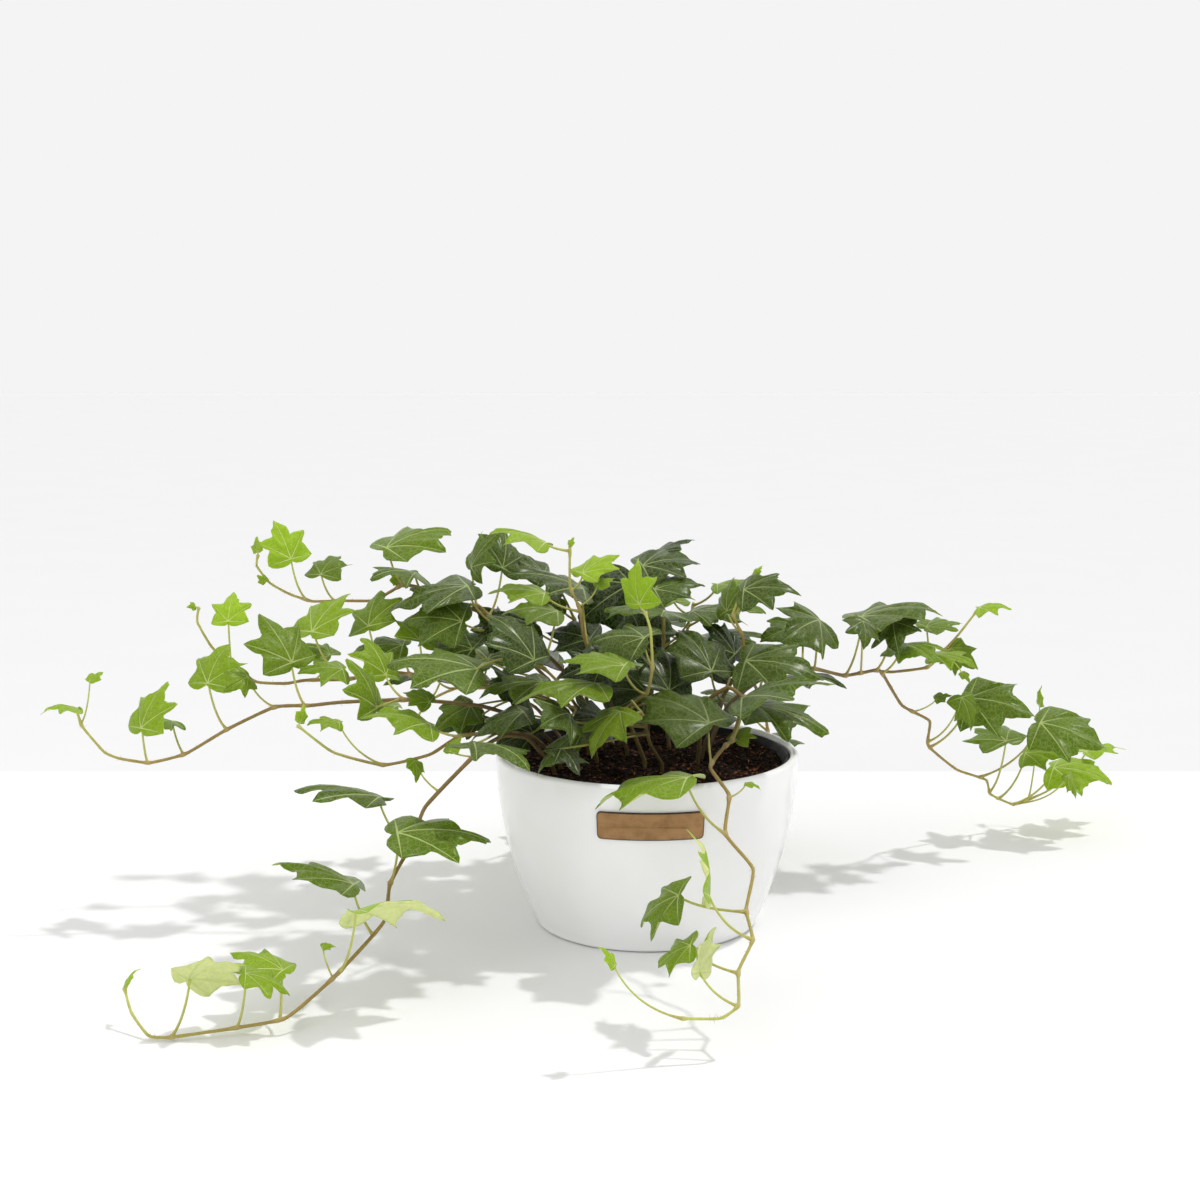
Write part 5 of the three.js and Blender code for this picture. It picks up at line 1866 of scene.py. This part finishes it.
    def build_stem(
        self,
        plan: StemPlan,
        bark: bpy.types.Material,
        skin: bpy.types.Material,
        draw: np.random.Generator,
    ) -> list[bpy.types.Object]:
        """Makes one leafy stem.

        Args:
            plan: Its plan.
            bark: The stems' material.
            skin: The blades' material.
            draw: The seeded draw.

        Returns:
            Its two pieces.
        """
        sizes, level = self.stem, self.soil.level
        depths = (level - sizes.root_depth, level + sizes.collar)
        line = StemLine([*((*plan.root, z) for z in depths), *plan.route])
        leaves = [Leaf(*row) for row in plan.leaves]
        if plan.grown:
            leaves += plan.grown.leaves(line)
        carried = [(line, leaf) for leaf in leaves]
        feet = [leaf.count for leaf in leaves]
        stems = [
            self.rod_patch(line, feet, sizes.root_radius, plan.ripe),
            self.hair_patch(line, sizes.tip_radius, draw),
        ]
        if plan.branch:
            twig = StemLine(plan.branch)
            leaves = [Leaf(*row) for row in plan.branch_leaves]
            carried += [(twig, leaf) for leaf in leaves]
            feet = [leaf.count for leaf in leaves]
            stems.append(self.rod_patch(twig, feet, sizes.branch_radius, sizes.branch_ripe))
        stems += [self.stalk_patch(way.at(leaf.count), leaf) for way, leaf in carried]
        blades = [self.blade_patch(leaf, draw) for _, leaf in carried]
        return [
            make_piece(f"{plan.name}_stems", stems, bark, "ivy", plan.name),
            make_piece(f"{plan.name}_blades", blades, skin, "ivy", plan.name),
        ]

    def build(self, bark: StemBark, skin: LeafSkin) -> list[bpy.types.Object]:
        """Makes every stem and dresses it.

        Args:
            bark: The stems' finish.
            skin: The blades' finish.

        Returns:
            All their pieces.
        """
        draw = np.random.default_rng(self.SEED)
        materials = bark.material(), skin.material(self.forms[Growth.LOBED].tips)
        return [
            piece for plan in self.plans for piece in self.build_stem(plan, *materials, draw)
        ]


# ---------------------------------------------------------------- studio


@dataclass(frozen=True)
class Studio:
    """A pale table with a far edge, a bright sky that is dimmer in front, and two lights.

    The sun stands high on the right and slightly behind, and a broad soft light stands at the
    front left. Sizes and places are in metres.
    """

    camera_place: Point = (-0.028, -1.140, 0.375)
    pitch: float = 9.05
    lens: float = 58.8
    sensor: float = 36.0
    clip: Pair = (0.01, 50.0)
    table_edge: float = 0.36
    table_drop: float = 0.0004
    reach: float = 6.0
    table_white: Colour = (0.86, 0.86, 0.86, 1.0)
    wall_white: Colour = (0.76, 0.76, 0.76, 1.0)
    sky_white: Colour = (1.0, 1.0, 1.0, 1.0)
    low_sky: float = 0.904
    high_sky: float = 0.85
    sky_heights: Pair = (0.15, 0.8)
    near_dimming: float = 0.25
    near_ways: Pair = (0.0, -0.8)
    sun: float = 1.32
    sun_spread: float = 2.8
    sun_place: Point = (0.6, 0.6, 1.4)
    sun_way: Point = (-0.45, -0.12, -1.0)
    soft: float = 6.0
    soft_size: float = 0.9
    soft_place: Point = (-0.9, -1.3, 1.3)
    soft_way: Point = (0.9, 1.3, -1.2)

    def table(self) -> None:
        """A flat sheet in two colours: the table up to its far edge, and the sweep past it."""
        painter = Painter("table_white")
        edge = self.table_edge
        share = painter.place().part("Y").eased(edge - MM, edge + MM)
        colour = painter.blend(share, self.table_white, self.wall_white)
        grain = painter.noise(9.0, 3.0)
        material = painter.finish({
            "Base Color": painter.shaded(colour, 0.985 + 0.03 * grain),
            "Roughness": 0.75,
            "Specular IOR Level": 0.2,
        })
        corners = np.array([(-1, -1, 0), (1, -1, 0), (1, 1, 0), (-1, 1, 0)]) * self.reach
        mesh = bpy.data.meshes.new("studio_table")
        mesh.from_pydata((corners - (0, 0, self.table_drop)).tolist(), [], [(0, 1, 2, 3)])
        mesh.materials.append(material)
        link_object(mesh)

    def lights(self) -> None:
        """The sky, the sun and one broad soft light at the front left."""
        sky = Painter("studio_sky", sky=True)
        way = sky.add("TexCoord", result="Generated")
        nearness = way.part("Y").eased(*self.near_ways)
        rising = way.part("Z").eased(*self.sky_heights)
        strength = self.low_sky + rising * (self.high_sky - self.low_sky)
        strength = strength * (1 - self.near_dimming * nearness)
        bpy.context.scene.world = sky.finish({"Color": self.sky_white, "Strength": strength})
        sun = bpy.data.lights.new("studio_sun", "SUN")
        sun.energy, sun.angle = self.sun, math.radians(self.sun_spread)
        self._place(sun, self.sun_place, self.sun_way)
        soft = bpy.data.lights.new("studio_softbox", "AREA")
        soft.energy, soft.size = self.soft, self.soft_size
        self._place(soft, self.soft_place, self.soft_way)

    @staticmethod
    def _place(data: bpy.types.ID, place: Point, way: Point) -> bpy.types.Object:
        """Puts a light or a camera at a place, looking along a way.

        Args:
            data: The light or camera.
            place: Where it stands, in metres.
            way: The way that it looks.

        Returns:
            Its object.
        """
        made = link_object(data)
        made.location = place
        yaw = math.atan2(-way[0], way[1])
        fall = math.atan2(-way[2], math.hypot(way[0], way[1]))
        made.rotation_euler = (math.pi / 2 - fall, 0, yaw)
        return made

    def camera(self) -> None:
        """The camera at the photograph's angle."""
        data = bpy.data.cameras.new("studio_camera")
        data.lens, data.sensor_width = self.lens, self.sensor
        data.clip_start, data.clip_end = self.clip
        fall = math.radians(self.pitch)
        way = (0.0, math.cos(fall), -math.sin(fall))
        bpy.context.scene.camera = self._place(data, self.camera_place, way)

    def build(self) -> None:
        """Sets up the table, the lights, the camera and plain colour handling."""
        self.table()
        self.lights()
        self.camera()
        bpy.context.scene.view_settings.view_transform = "Standard"
        bpy.context.scene.view_settings.look = "None"


def main() -> None:
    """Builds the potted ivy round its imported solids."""
    logging.basicConfig(level=logging.INFO, format="%(name)s: %(message)s")
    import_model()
    planter = Planter()
    pot = NurseryPot(planter)
    soil = Soil(pot)
    planter.build(Glaze())
    Plate(planter).build(AgedBrass())
    pot.build(BlackPlastic())
    soil.build(PottingSoil())
    Ivy(STEMS, soil).build(StemBark(), LeafSkin())
    Studio().build()
    bpy.context.view_layer.update()


if __name__ == "__main__":
    main()
